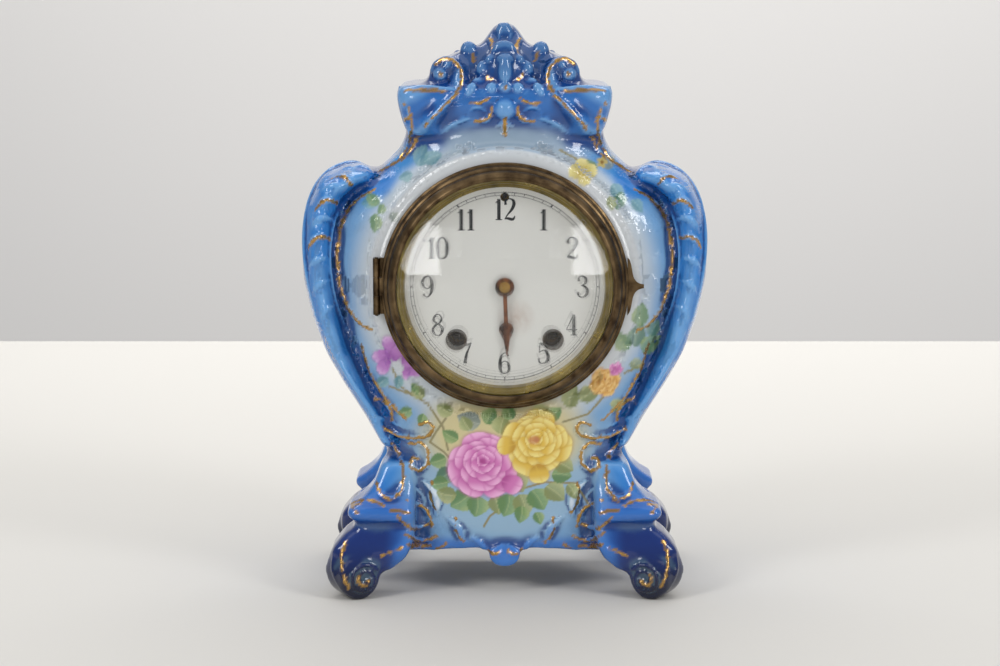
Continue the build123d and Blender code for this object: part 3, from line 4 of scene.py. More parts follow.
import bpy
import numpy as np
from mathutils import Matrix, Vector, kdtree
from mathutils.bvhtree import BVHTree

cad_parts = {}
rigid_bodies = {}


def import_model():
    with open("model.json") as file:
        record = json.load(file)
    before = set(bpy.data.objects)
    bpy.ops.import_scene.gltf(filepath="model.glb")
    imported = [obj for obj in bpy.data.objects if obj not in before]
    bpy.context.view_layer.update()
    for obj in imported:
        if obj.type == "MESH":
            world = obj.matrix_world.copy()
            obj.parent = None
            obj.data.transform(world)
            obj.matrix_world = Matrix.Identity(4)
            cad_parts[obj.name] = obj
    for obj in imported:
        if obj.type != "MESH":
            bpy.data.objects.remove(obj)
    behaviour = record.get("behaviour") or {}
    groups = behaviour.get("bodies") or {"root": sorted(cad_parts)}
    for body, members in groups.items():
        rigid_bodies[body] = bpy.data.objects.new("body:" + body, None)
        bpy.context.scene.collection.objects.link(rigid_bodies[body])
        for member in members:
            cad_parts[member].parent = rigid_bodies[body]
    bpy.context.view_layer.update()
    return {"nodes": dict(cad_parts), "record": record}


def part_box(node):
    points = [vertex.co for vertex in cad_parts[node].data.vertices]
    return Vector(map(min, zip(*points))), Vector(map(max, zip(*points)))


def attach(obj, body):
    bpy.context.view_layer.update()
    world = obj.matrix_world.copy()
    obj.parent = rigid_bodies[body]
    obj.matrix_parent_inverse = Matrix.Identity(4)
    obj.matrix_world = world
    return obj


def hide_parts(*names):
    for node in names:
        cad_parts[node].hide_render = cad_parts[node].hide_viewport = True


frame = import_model()
NODES = frame["nodes"]
MM = 0.001

# Camera of the photograph: level, distance, and where its middle points
ELEVATION = math.radians(9.0)
DISTANCE = 1.25
TARGET = Vector((-0.0023, 0.0, 0.124))
LENS, SENSOR = 89.1, 36.0
PICTURE = (1000.0, 666.0)
FOCAL_PX = PICTURE[0] * LENS / SENSOR
AHEAD = Vector((0.0, math.cos(ELEVATION), -math.sin(ELEVATION)))
UP = Vector((0.0, math.sin(ELEVATION), math.cos(ELEVATION)))
EYE = TARGET - AHEAD * DISTANCE

# Dial and bezel, as in the frame
DIAL = Vector((0.0, 0.0, 0.154))
DIAL_FRONT = -0.0456
BEZEL_BACK = -0.0437
NUMERAL_RING, NUMERAL_TALL = 0.0376, 0.0102

# Fineness of the case's skin, and how large a piece may be
BASE_VOXEL, VOXEL = 1.5 * MM, 1.15 * MM
BASE_EASING, JOINED_EASING, PLAIN_EASING = 26, 2, 16
PIECE_TRIANGLES = 150000


def linear(code):
    """A colour written as rrggbb, as the shader takes it."""
    parts = [int(code[i : i + 2], 16) / 255 for i in (0, 2, 4)]
    return tuple(c / 12.92 if c < 0.04045 else ((c + 0.055) / 1.055) ** 2.4 for c in parts)


def pick(*objs):
    bpy.ops.object.select_all(action="DESELECT")
    for o in objs:
        o.select_set(True)
    bpy.context.view_layer.objects.active = objs[-1]


def smooth_shade(obj, angle=40.0):
    pick(obj)
    bpy.ops.object.shade_smooth_by_angle(angle=math.radians(angle))


def node_copy(node, name):
    """A copy of a node's mesh, merged, to be worked on."""
    source = NODES[node]
    obj = source.copy()
    obj.data = source.data.copy()
    obj.name = name
    bpy.context.scene.collection.objects.link(obj)
    obj.parent = None
    obj.matrix_world = Matrix.Identity(4)
    pick(obj)
    bpy.ops.object.mode_set(mode="EDIT")
    bpy.ops.mesh.select_all(action="SELECT")
    bpy.ops.mesh.remove_doubles(threshold=1e-5)
    bpy.ops.object.mode_set(mode="OBJECT")
    return obj


# Materials


def material(name, colour, metallic=0.0, roughness=0.4, **more):
    mat = bpy.data.materials.new(name)
    mat.use_nodes = True
    shader = mat.node_tree.nodes["Principled BSDF"]
    shader.inputs["Base Color"].default_value = (*linear(colour), 1.0)
    shader.inputs["Metallic"].default_value = metallic
    shader.inputs["Roughness"].default_value = roughness
    for key, value in more.items():
        shader.inputs[key.replace("_", " ")].default_value = value
    return mat


def mottled(mat, dark, light, scale, low=0.35, high=0.65, rough=(0.3, 0.5), bump=0.0):
    """Gives a material an uneven colour and polish, as old metal has."""
    tree = mat.node_tree
    shader = tree.nodes["Principled BSDF"]
    coords = tree.nodes.new("ShaderNodeTexCoord")
    noise = tree.nodes.new("ShaderNodeTexNoise")
    noise.inputs["Scale"].default_value = scale
    noise.inputs["Detail"].default_value = 6.0
    ramp = tree.nodes.new("ShaderNodeValToRGB")
    ramp.color_ramp.elements[0].position = low
    ramp.color_ramp.elements[0].color = (*linear(dark), 1.0)
    ramp.color_ramp.elements[1].position = high
    ramp.color_ramp.elements[1].color = (*linear(light), 1.0)
    polish = tree.nodes.new("ShaderNodeMapRange")
    polish.inputs["To Min"].default_value = rough[1]
    polish.inputs["To Max"].default_value = rough[0]
    tree.links.new(coords.outputs["Object"], noise.inputs["Vector"])
    tree.links.new(noise.outputs["Fac"], ramp.inputs["Fac"])
    tree.links.new(noise.outputs["Fac"], polish.inputs["Value"])
    tree.links.new(ramp.outputs["Color"], shader.inputs["Base Color"])
    tree.links.new(polish.outputs["Result"], shader.inputs["Roughness"])
    if bump:
        relief = tree.nodes.new("ShaderNodeBump")
        relief.inputs["Strength"].default_value = bump
        relief.inputs["Distance"].default_value = 0.0003
        tree.links.new(noise.outputs["Fac"], relief.inputs["Height"])
        tree.links.new(relief.outputs["Normal"], shader.inputs["Normal"])
    return mat


def glaze():
    """Painted porcelain under a clear glaze: colour and gilding come from the piece's own attributes."""
    mat = material("painted_porcelain", "f0f2f4", 0.0, 0.16, Coat_Weight=0.25, Coat_Roughness=0.03)
    tree = mat.node_tree
    shader = tree.nodes["Principled BSDF"]
    paint = tree.nodes.new("ShaderNodeAttribute")
    paint.attribute_name = "paint"
    gilt = tree.nodes.new("ShaderNodeAttribute")
    gilt.attribute_name = "gilt"
    worn = tree.nodes.new("ShaderNodeMapRange")
    worn.inputs["To Min"].default_value = 0.14
    worn.inputs["To Max"].default_value = 0.30
    tree.links.new(paint.outputs["Color"], shader.inputs["Base Color"])
    tree.links.new(gilt.outputs["Fac"], shader.inputs["Metallic"])
    tree.links.new(gilt.outputs["Fac"], worn.inputs["Value"])
    tree.links.new(worn.outputs["Result"], shader.inputs["Roughness"])
    return mat


PORCELAIN = glaze()
patinated = material("patinated_brass", "6b5630", 1.0, 0.4)
PATINA = mottled(patinated, "33261a", "806a4c", 150.0, 0.30, 0.75, (0.30, 0.5), 0.12)
bare_brass = material("brass", "b8924c", 1.0, 0.35)
BRASS = mottled(bare_brass, "8f6d33", "cda860", 60.0, 0.3, 0.7, (0.25, 0.42))
gilt_metal = material("gilt_ring", "a8924a", 1.0, 0.3)
GILT = mottled(gilt_metal, "6e5f2a", "b39c4e", 120.0, 0.3, 0.7, (0.2, 0.4))
bare_steel = material("steel", "5c5850", 1.0, 0.4)
STEEL = mottled(bare_steel, "3c3630", "7a756c", 70.0, 0.3, 0.7, (0.28, 0.45))
BLUED = material("blued_steel", "2a3a63", 1.0, 0.28)
IRON = material("black_iron", "2f3031", 0.3, 0.6)
rusted = material("rusted_steel", "5a3420", 0.4, 0.7)
RUST = mottled(rusted, "2c1a12", "8a5230", 300.0, 0.4, 0.62, (0.6, 0.85), 0.5)
near_black = material("near_black_metal", "2c231b", 0.7, 0.5)
DARK = mottled(near_black, "1c1611", "4a3d30", 200.0)
PRINT = material("black_print", "15161a", 0.0, 0.3)
GLASS = material("clear_glass", "f6fafa", 0.0, 0.02, Transmission_Weight=1.0, IOR=1.9, Alpha=0.24)
ENAMEL_WHITE, STAIN_BROWN = "e4e3de", "9c6236"
ENAMEL = material("white_enamel", ENAMEL_WHITE, 0.0, 0.18, Coat_Weight=0.4, Coat_Roughness=0.05)


def stained(mat, spot, size, tint):
    """A faint stain in the enamel beside the hand."""
    tree = mat.node_tree
    shader = tree.nodes["Principled BSDF"]
    coords = tree.nodes.new("ShaderNodeTexCoord")
    gap = tree.nodes.new("ShaderNodeVectorMath")
    gap.operation = "DISTANCE"
    gap.inputs[1].default_value = spot
    reach = tree.nodes.new("ShaderNodeMapRange")
    reach.inputs["From Min"].default_value = 0.0
    reach.inputs["From Max"].default_value = size
    reach.inputs["To Min"].default_value = 0.75
    reach.inputs["To Max"].default_value = 0.0
    noise = tree.nodes.new("ShaderNodeTexNoise")
    noise.inputs["Scale"].default_value = 420.0
    share = tree.nodes.new("ShaderNodeMath")
    share.operation = "MULTIPLY"
    mix = tree.nodes.new("ShaderNodeMix")
    mix.data_type = "RGBA"
    mix.inputs["A"].default_value = (*linear(ENAMEL_WHITE), 1.0)
    mix.inputs["B"].default_value = (*linear(tint), 1.0)
    tree.links.new(coords.outputs["Object"], gap.inputs[0])
    tree.links.new(coords.outputs["Object"], noise.inputs["Vector"])
    tree.links.new(gap.outputs["Value"], reach.inputs["Value"])
    tree.links.new(reach.outputs["Result"], share.inputs[0])
    tree.links.new(noise.outputs["Fac"], share.inputs[1])
    tree.links.new(share.outputs["Value"], mix.inputs["Factor"])
    tree.links.new(mix.outputs["Result"], shader.inputs["Base Color"])
    return mat


STAIN_AT, STAIN_REACH = (0.0055, DIAL_FRONT, 0.139), 0.010
stained(ENAMEL, STAIN_AT, STAIN_REACH, STAIN_BROWN)

SLOT_MATERIALS = {
    "patinated_brass": PATINA,
    "brass": BRASS,
    "gilt": GILT,
    "steel": STEEL,
    "blued_steel": BLUED,
    "iron": IRON,
    "rusted_steel": RUST,
    "glass": GLASS,
    "enamel": ENAMEL,
    "porcelain": PORCELAIN,
}
for row in frame["record"]["subparts"]:
    for place in NODES[row["node"]].material_slots:
        place.material = SLOT_MATERIALS[row["material_slot"]]

# The eyelets, and the arbors seen through the dial's holes, are given a near-black metal
for dark_node in ("dial_eyelets", "time_winding_arbor", "strike_winding_arbor", "regulator_arbor"):
    for place in NODES[dark_node].material_slots:
        place.material = DARK


# Case: the moulded scrolls, leaves and shells are added to a copy of the case and made one body with it


def eased(obj, passes, group=""):
    """Softens a mesh, all over or by a vertex group's weight."""
    modifier = obj.modifiers.new("soften", "SMOOTH")
    modifier.factor = 0.5
    modifier.iterations = passes
    modifier.vertex_group = group
    pick(obj)
    bpy.ops.object.modifier_apply(modifier=modifier.name)


def remeshed(obj, size, passes):
    """Makes an object one closed skin of even faces, and eases it."""
    obj.data.remesh_voxel_size = size
    pick(obj)
    bpy.ops.object.voxel_remesh()
    eased(obj, passes)


case = node_copy("porcelain_case", "case_porcelain")
remeshed(case, BASE_VOXEL, BASE_EASING)
CASE_SURFACE = BVHTree.FromObject(case, bpy.context.evaluated_depsgraph_get())


def seen(px, py, sink=0.0):
    """The point of the case that the photograph shows at a pixel, set in by sink millimetres."""
    way = AHEAD + Vector((1.0, 0.0, 0.0)) * ((px - PICTURE[0] / 2) / FOCAL_PX)
    way = way + UP * ((PICTURE[1] / 2 - py) / FOCAL_PX)
    spot, normal, _, _ = CASE_SURFACE.ray_cast(EYE, way.normalized())
    if spot is None:
        spot, normal, _, _ = CASE_SURFACE.find_nearest(EYE + way * (DISTANCE / way.length))
    return spot - normal * sink * MM


def mirrored(points):
    return [Vector((-p.x, p.y, p.z)) for p in points]


ornaments = []
gilded = []
raised = []


def sweep(name, points, radii):
    """A round bar along a smooth line through points, with its radius at each, in millimetres."""
    curve = bpy.data.curves.new(name, "CURVE")
    curve.dimensions = "3D"
    line = curve.splines.new("NURBS")
    line.points.add(len(points) - 1)
    for place, point, radius in zip(line.points, points, radii):
        place.co = (*point, 1.0)
        place.radius = radius
    line.order_u = 3
    line.use_endpoint_u = True
    line.resolution_u = 8
    curve.bevel_depth = MM
    curve.bevel_resolution = 3
    curve.use_fill_caps = True
    obj = bpy.data.objects.new(name, curve)
    bpy.context.scene.collection.objects.link(obj)
    pick(obj)
    bpy.ops.object.convert(target="MESH")
    return bpy.context.object


def scroll(points, radii, gold=True):
    """A raised scroll on the case, with its half thickness at each point, in millimetres."""
    ornaments.append(sweep("scroll", points, radii))
    raised.append((points, radii))
    if gold:
        gilded.append((points, radii))


def scroll_pair(pixels, radii, gold=True, sink=0.2):
    """A scroll drawn on the photograph's left side, and its mirror image on the right."""
    points = [seen(x, y, sink) for x, y in pixels]
    scroll(points, radii, gold)
    scroll(mirrored(points), radii, gold)


def lobe(at, tall, wide, deep, lean, gold=False):
    """An oval leaf lobe, leaning by an angle in the view from the front."""
    bpy.ops.mesh.primitive_uv_sphere_add(segments=20, ring_count=12, radius=MM, location=at)
    obj = bpy.context.object
    obj.scale = (wide, deep, tall)
    obj.rotation_euler = (0.0, math.radians(lean), 0.0)
    pick(obj)
    bpy.ops.object.transform_apply(location=True, rotation=True, scale=True)
    ornaments.append(obj)
    along = Vector((math.sin(math.radians(lean)), 0.0, math.cos(math.radians(lean)))) * 0.6 * tall * MM
    raised.append(([at - along, at + along], [wide, wide]))
    if gold:
        gilded.append(([at, at + Vector((0.0, 0.0, 0.0001))], [deep, deep]))


def lobe_pair(px, py, tall, wide, deep, lean, gold):
    """A lobe on the left side, set 0.8 mm into the case, and its mirror image."""
    at = seen(px, py, 0.8)
    lobe(at, tall, wide, deep, lean, gold)
    lobe(mirrored([at])[0], tall, wide, deep, -lean, gold)


def frond_pair(base, tip, bend, fat, gold):
    """A tapered leaf from base to tip, bowed to one side, on the left and mirrored on the right."""
    (x0, y0), (x1, y1) = base, tip
    pixels = []
    for t in (0.0, 0.25, 0.5, 0.75, 1.0):
        bow = bend * math.sin(math.pi * t)
        pixels.append((x0 + (x1 - x0) * t + (y1 - y0) * bow, y0 + (y1 - y0) * t - (x1 - x0) * bow))
    scroll_pair(pixels, [fat * share for share in (0.4, 0.85, 1.0, 0.75, 0.25)], gold, 0.4)


# Scrolls on the photograph's left side: pixels, half thickness in millimetres, and whether gilded
SCROLLS = {
    "panel_rim": (
        [(374, 189), (361, 196), (350, 206), (341, 224), (337, 252), (339, 282), (348, 310),
         (361, 326), (372, 330)],
        [0.6, 1.0, 1.2, 1.2, 1.2, 1.2, 1.1, 0.9, 0.4],
        True,
    ),
    "panel_rim_outer": (
        [(352, 194), (339, 208), (332, 228), (329, 256), (332, 288), (341, 318), (354, 342)],
        [0.6, 1.0, 1.1, 1.1, 1.0, 0.9, 0.5],
        False,
    ),
    "ear_edge": (
        [(376, 172), (362, 162), (345, 162), (326, 173), (313, 193), (306, 222), (305, 250),
         (309, 284), (318, 322)],
        [0.8, 2.0, 2.6, 2.6, 2.4, 2.2, 2.0, 1.8, 0.8],
        False,
    ),
    "ear_curl": (
        [(368, 186), (374, 178), (368, 168), (357, 166), (350, 174), (356, 182)],
        [0.8, 1.3, 1.4, 1.3, 1.2, 1.4],
        False,
    ),
    "ear_foot_outer": (
        [(323, 330), (336, 356), (354, 386), (372, 412), (386, 430)],
        [0.5, 1.2, 1.4, 1.4, 0.7],
        False,
    ),
    "ear_foot_inner": (
        [(361, 344), (368, 370), (383, 396), (396, 410), (406, 420)],
        [0.5, 1.0, 1.1, 1.1, 0.6],
        True,
    ),
    "waist_curl": (
        [(384, 428), (398, 436), (414, 438), (428, 436), (434, 428), (428, 421), (418, 425)],
        [0.8, 1.5, 1.7, 1.6, 1.4, 1.2, 0.9],
        True,
    ),
    "waist_curl_inner": (
        [(388, 420), (402, 428), (416, 428)],
        [0.6, 1.2, 0.6],
        False,
    ),
    "waist_volute": (
        [(408, 444), (420, 442), (428, 450), (428, 464), (419, 471), (410, 466), (412, 457),
         (419, 459)],
        [0.7, 1.2, 1.3, 1.3, 1.2, 1.1, 1.0, 1.2],
        True,
    ),
    "waist_small_curl": (
        [(404, 474), (402, 490), (392, 500), (380, 494), (376, 482)],
        [0.6, 1.2, 1.3, 1.1, 0.6],
        True,
    ),
    "apron_edge": (
        [(382, 556), (400, 548), (420, 546), (440, 550), (462, 557), (486, 556)],
        [0.7, 1.2, 1.3, 1.2, 1.2, 0.7],
        True,
    ),
    "apron_ledge_lower": (
        [(376, 536), (396, 530), (412, 530)],
        [0.5, 0.9, 0.4],
        False,
    ),
    "apron_ledge_upper": (
        [(372, 522), (392, 519), (404, 520)],
        [0.5, 0.9, 0.4],
        False,
    ),
    "foot_outline": (
        [(338, 546), (332, 560), (334, 576), (342, 590)],
        [0.5, 1.3, 1.4, 0.7],
        False,
    ),
    "foot_outline_inner": (
        [(346, 540), (341, 556), (342, 574), (349, 588)],
        [0.5, 1.0, 1.1, 0.5],
        True,
    ),
    "foot_ledge_gilt": (
        [(352, 503), (362, 499), (376, 500), (384, 505)],
        [0.9, 1.5, 1.2, 0.5],
        True,
    ),
    "foot_ledge": (
        [(354, 492), (364, 486), (374, 488)],
        [1.0, 1.4, 0.6],
        False,
    ),
    "crest_volute": (
        [(402, 160), (411, 149), (418, 136), (428, 122), (443, 107), (456, 94), (463, 80), (461, 68),
         (452, 59), (442, 58), (434, 65)],
        [0.5, 1.0, 1.1, 1.2, 1.3, 1.4, 1.4, 1.4, 1.5, 1.5, 1.2],
        True,
    ),
    "cornice_edge": (
        [(399, 88), (420, 87), (440, 88), (456, 90)],
        [1.3, 1.5, 1.5, 0.8],
        False,
    ),
    "cornice_curl": (
        [(404, 104), (399, 112), (404, 120), (411, 116), (408, 109)],
        [1.0, 1.6, 1.6, 1.3, 1.0],
        True,
    ),
    "neck_rim": (
        [(412, 118), (411, 132), (408, 146), (398, 160), (378, 172)],
        [0.8, 1.2, 1.3, 1.3, 0.8],
        True,
    ),
    "neck_spray": (
        [(470, 118), (456, 122), (444, 130), (434, 140)],
        [0.9, 1.1, 0.9, 0.4],
        False,
    ),
}

# Tapered leaves on the left side: base and tip pixels, bow, half thickness, and whether gilded
FRONDS = {
    "ear": (
        ((352, 186), (332, 178), -0.3, 1.8, True), ((346, 194), (321, 191), -0.3, 2.0, False),
        ((338, 204), (316, 208), -0.3, 2.1, True), ((334, 220), (311, 228), -0.25, 2.1, False),
        ((330, 238), (308, 247), -0.25, 2.0, True), ((329, 258), (308, 270), -0.2, 1.8, False),
        ((331, 280), (312, 296), -0.2, 1.6, False), ((336, 304), (320, 322), -0.15, 1.4, False),
    ),
    "ear_foot": (
        ((376, 398), (392, 420), 0.2, 1.6, True), ((370, 416), (392, 432), 0.2, 1.4, False),
    ),
    "waist": (
        ((392, 444), (403, 476), 0.12, 1.5, True),
    ),
    "spray": (
        ((436, 516), (422, 480), -0.22, 2.6, False), ((438, 512), (432, 482), 0.15, 1.6, True),
        ((462, 546), (444, 516), -0.2, 2.5, False), ((464, 542), (456, 518), 0.15, 1.4, True),
        ((488, 556), (468, 536), -0.15, 2.0, False), ((428, 524), (398, 517), 0.25, 1.6, True),
        ((432, 526), (408, 500), -0.2, 1.5, True), ((436, 536), (406, 533), 0.2, 1.6, True),
        ((446, 544), (422, 548), 0.2, 1.4, True), ((424, 512), (412, 486), -0.2, 1.5, False),
        ((470, 552), (448, 558), 0.2, 1.2, False),
    ),
    "shell": (
        ((503, 548), (488, 550), 0.3, 1.6, True),
    ),
    "crest": (
        ((474, 60), (462, 46), -0.2, 1.5, True), ((492, 52), (486, 34), -0.15, 1.8, True),
        ((500, 44), (495, 26), -0.1, 1.6, False), ((492, 80), (486, 74), 0.2, 1.2, True),
        ((488, 99), (470, 103), 0.12, 1.2, True), ((502, 112), (494, 128), 0.25, 1.8, False),
        ((505, 114), (505, 135), 0.0, 2.4, True), ((492, 108), (476, 121), 0.3, 1.6, True),
        ((488, 112), (466, 114), -0.3, 1.3, False),
    ),
}

# Lobes on the left side: pixel, height, width, depth, lean, and whether gilded
LOBES = {
    "volute_eye": (441, 74, 4.0, 4.0, 3.6, 0.0, True),
    "volute_ball": (448, 66, 3.0, 3.0, 2.4, 0.0, False),
    "side_ball": (469, 50, 5.2, 4.4, 4.0, -20.0, False),
    "side_small_ball": (457, 49, 3.0, 3.0, 2.8, -30.0, False),
    "flower_upper": (484, 70, 5.0, 4.4, 2.8, -30.0, False),
    "flower_side": (479, 84, 4.4, 4.2, 2.6, -60.0, False),
    "flower_top": (490, 60, 3.2, 3.0, 2.2, 20.0, False),
    "flower_low": (492, 88, 3.6, 3.4, 2.4, 40.0, False),
    "flower_outer": (470, 90, 4.6, 2.6, 2.0, 30.0, False),
    "flower_inner": (474, 76, 3.4, 2.4, 2.2, 10.0, False),
}

# Lobes on the middle line: pixel, how far they are set in, height, width, depth, and whether gilded
MIDDLE_LOBES = {
    "knob": (504, 30, 1.6, 5.4, 4.4, 4.0, False),
    "knob_neck": (504, 50, 0.8, 5.5, 6.5, 2.6, False),
    "flower_column": (505, 73, 0.4, 9.0, 3.6, 3.2, False),
    "flower_top": (505, 60, 0.4, 3.6, 4.4, 2.6, False),
    "flower_heart": (505, 87, 0.4, 3.4, 4.4, 2.4, True),
    "pendant": (505, 108, 0.6, 6.0, 6.0, 2.6, False),
}

for pixels, radii, gold in SCROLLS.values():
    scroll_pair(pixels, radii, gold)
for leaves in FRONDS.values():
    for base, tip, bow, fat, gold in leaves:
        frond_pair(base, tip, bow, fat, gold)
for px, py, tall, wide, deep, lean, gold in LOBES.values():
    lobe_pair(px, py, tall, wide, deep, lean, gold)
for px, py, sink, tall, wide, deep, gold in MIDDLE_LOBES.values():
    lobe(seen(px, py, sink), tall, wide, deep, 0.0, gold)

# Shell pendant under the apron: five ribs that fan out from one spot
SHELL_AT, SHELL_RIBS, SHELL_FAN = (505, 543), 5, math.radians(26.0)
SHELL_REACH, SHELL_BULGE = 8.5, 1.2
low = seen(*SHELL_AT, 0.4)
for k in range(SHELL_RIBS):
    fan = (k - SHELL_RIBS // 2) * SHELL_FAN
    tip = low + Vector((math.sin(fan) * SHELL_REACH, -0.6, -math.cos(fan) * 8.6)) * MM
    middle = (low + tip) / 2 + Vector((0.0, -SHELL_BULGE, 0.0)) * MM
    scroll([low, middle, tip], [0.8, 1.7, 2.1], gold=False)

# Volute on each front foot: a spiral that thickens at its heart, which is gilded
FOOT_AT, FOOT_TURN, FOOT_R = Vector((0.0685, -0.0555, 0.0103)), math.radians(25.0), 0.0082
SPIRAL_STEPS, SPIRAL_STEP, SPIRAL_START = 24, math.radians(30.0), math.radians(150.0)
SPIRAL_SHRINK, GILT_FROM = 0.034, 15
across = Vector((math.cos(FOOT_TURN), -math.sin(FOOT_TURN), 0.0))
upward = Vector((0.0, 0.0, 1.0))
spiral = []
for k in range(SPIRAL_STEPS):
    turn = SPIRAL_START - k * SPIRAL_STEP
    reach = FOOT_R * (1.0 - SPIRAL_SHRINK * k)
    spiral.append(FOOT_AT + across * reach * math.cos(turn) + upward * reach * math.sin(turn))
thickness = [0.9 - 0.01 * k for k in range(16)] + [0.9, 1.1, 1.3, 1.5, 1.6, 1.6, 1.5, 1.3]
for side in (spiral, mirrored(spiral)):
    scroll(side, thickness, gold=False)
    gilded.append((side[GILT_FROM:], [0.9] * (SPIRAL_STEPS - GILT_FROM)))

for ornament in ornaments:
    ornament.data.materials.clear()
pick(*ornaments, case)
bpy.ops.object.join()
case = bpy.context.object
case.name = "case_porcelain"
remeshed(case, VOXEL, JOINED_EASING)


def line_samples(lines, pitch):
    """Points along swept lines, each with its half thickness in millimetres."""
    found = []
    for points, radii in lines:
        for (a, ra), (b, rb) in zip(zip(points, radii), zip(points[1:], radii[1:])):
            steps = max(2, int((b - a).length / pitch))
            found += [(a.lerp(b, k / steps), ra + (rb - ra) * k / steps) for k in range(steps + 1)]
    return found


def gaps_to(found, cloud, mask):
    """Distance of each masked point outside the nearest sample's thickness, in millimetres."""
    tree = kdtree.KDTree(len(found))
    for i, (spot, _) in enumerate(found):
        tree.insert(spot, i)
    tree.balance()
    gap = np.full(len(cloud), 9.0)
    for i in np.flatnonzero(mask):
        _, k, far = tree.find(cloud[i])
        gap[i] = far / MM - found[k][1]
    return gap


def vertex_places(mesh):
    places = np.empty(len(mesh.vertices) * 3)
    mesh.vertices.foreach_get("co", places)
    return places.reshape(-1, 3)


# The plain walls are eased more than the ornament
cloud = vertex_places(case.data)
clear = gaps_to(line_samples(raised, 0.0015), cloud, cloud[:, 1] < 0.01)
clear[cloud[:, 2] < 0.0012] = 0.0
plain = case.vertex_groups.new(name="plain")
for low, high, share in ((0.6, 1.2, 0.3), (1.2, 2.0, 0.65), (2.0, 99.0, 1.0)):
    plain.add([int(i) for i in np.flatnonzero((clear >= low) & (clear < high))], share, "REPLACE")
eased(case, PLAIN_EASING, "plain")


# Finer faces where the flowers are painted


def face_centres(mesh):
    centres = np.empty(len(mesh.polygons) * 3)
    mesh.polygons.foreach_get("center", centres)
    return centres.reshape(-1, 3)


def select_faces(mesh, mask):
    mesh.vertices.foreach_set("select", np.zeros(len(mesh.vertices), bool))
    mesh.edges.foreach_set("select", np.zeros(len(mesh.edges), bool))
    mesh.polygons.foreach_set("select", mask)


middles = face_centres(case.data) / MM
FLOWER_FRONT, FLOWER_SIDE, FLOWER_LOW, FLOWER_HIGH = -34.0, 44.0, 34.0, 92.0
painted = (middles[:, 1] < FLOWER_FRONT) & (np.abs(middles[:, 0]) < FLOWER_SIDE)
painted &= (middles[:, 2] > FLOWER_LOW) & (middles[:, 2] < FLOWER_HIGH)
select_faces(case.data, painted)
pick(case)
bpy.ops.object.mode_set(mode="EDIT")
bpy.ops.mesh.select_mode(type="FACE")
bpy.ops.mesh.subdivide(number_cuts=1, smoothness=0.0)
bpy.ops.object.mode_set(mode="OBJECT")

mesh = case.data
count = len(mesh.vertices)
spots = vertex_places(mesh)

# The soles go back to the floor, and nothing leaves the case's own box
SOLE_FADE = 0.025
low, high = np.array(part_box("porcelain_case")[0]), np.array(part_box("porcelain_case")[1])
sole = spots[:, 2].min()
spots[:, 2] -= sole * np.clip(1.0 - spots[:, 2] / SOLE_FADE, 0.0, 1.0)
spots = np.clip(spots, low, high)
mesh.vertices.foreach_set("co", spots.ravel())
mesh.update()
normals = np.empty(count * 3)
mesh.vertices.foreach_get("normal", normals)
normals = normals.reshape(-1, 3)
X, Y, Z = (spots / MM).T
SIDE = np.abs(X)

# How far each point stands out of, or lies in, the smoothed surface, in millimetres
RELIEF_PASSES = 14
ends = np.empty(len(mesh.edges) * 2, int)
mesh.edges.foreach_get("vertices", ends)
ends = ends.reshape(-1, 2)
valence = np.bincount(ends.ravel(), minlength=count)
smoothed = spots.copy()
for _ in range(RELIEF_PASSES):
    total = np.empty_like(smoothed)
    for axis in range(3):
        line = smoothed[:, axis]
        total[:, axis] = np.bincount(ends[:, 0], line[ends[:, 1]], count)
        total[:, axis] += np.bincount(ends[:, 1], line[ends[:, 0]], count)
    smoothed = 0.3 * smoothed + 0.7 * total / valence[:, None]
relief = ((spots - smoothed) * normals).sum(axis=1) / MM

# Painting


def ease(value, start, end):
    t = np.clip((value - start) / (end - start), 0.0, 1.0)
    return t * t * (3.0 - 2.0 * t)


def lay(under, code, share):
    """Lays a colour over the paint by a share at each point."""
    share = np.clip(share, 0.0, 1.0)[:, None]
    return under * (1.0 - share) + np.array(linear(code)) * share


def line_gap(x, z, points):
    """Distance in the front view to a line through points."""
    best = np.full(len(x), 1e9)
    for (x0, z0), (x1, z1) in zip(points, points[1:]):
        length = (x1 - x0) ** 2 + (z1 - z0) ** 2
        t = np.clip(((x - x0) * (x1 - x0) + (z - z0) * (z1 - z0)) / length, 0.0, 1.0)
        best = np.minimum(best, np.hypot(x - x0 - t * (x1 - x0), z - z0 - t * (z1 - z0)))
    return best


# Colours of the glazed ground
MIST = "c3cbd0"
PANEL_BLUE = "6f9fcb"
SHOULDER_BLUE = "2f86cc"
EAR_BLUE = "1a74c4"
OUTER_BLUE = "0f55a4"
EDGE_BLUE = "2c7cc8"
LOWER_BLUE = "1f5fb4"
FOOT_BLUE = "10286a"
FOOT_INK = "070f2a"
APRON_BLUE = "1f66c0"
CREST_BLUE = "1263b4"
PEAK_BLUE = "083c7c"
CREST_SIDE_BLUE = "0c3f80"
NECK_GREY = "a9bccb"
LOW_PANEL_BLUE = "93b3cb"
STRAW = "cfc28e"
COLLAR_GREY = "c9ccce"
# Crease and ridge tints: glaze pooling and thinning, with painted shade in the creases and painted highlight
# on the ridges
CREASE_POOL_AND_SHADE_BLUE = "082f74"
RIDGE_THIN_AND_SHEEN_SKY = "7fb6e6"
RIDGE_THIN_AND_SHEEN_BLUE = "3f7fd0"
CREASE_POOL_AND_SHADE_GREY = "5f7f8f"
SPRAY_WHITE = "dfe8ee"

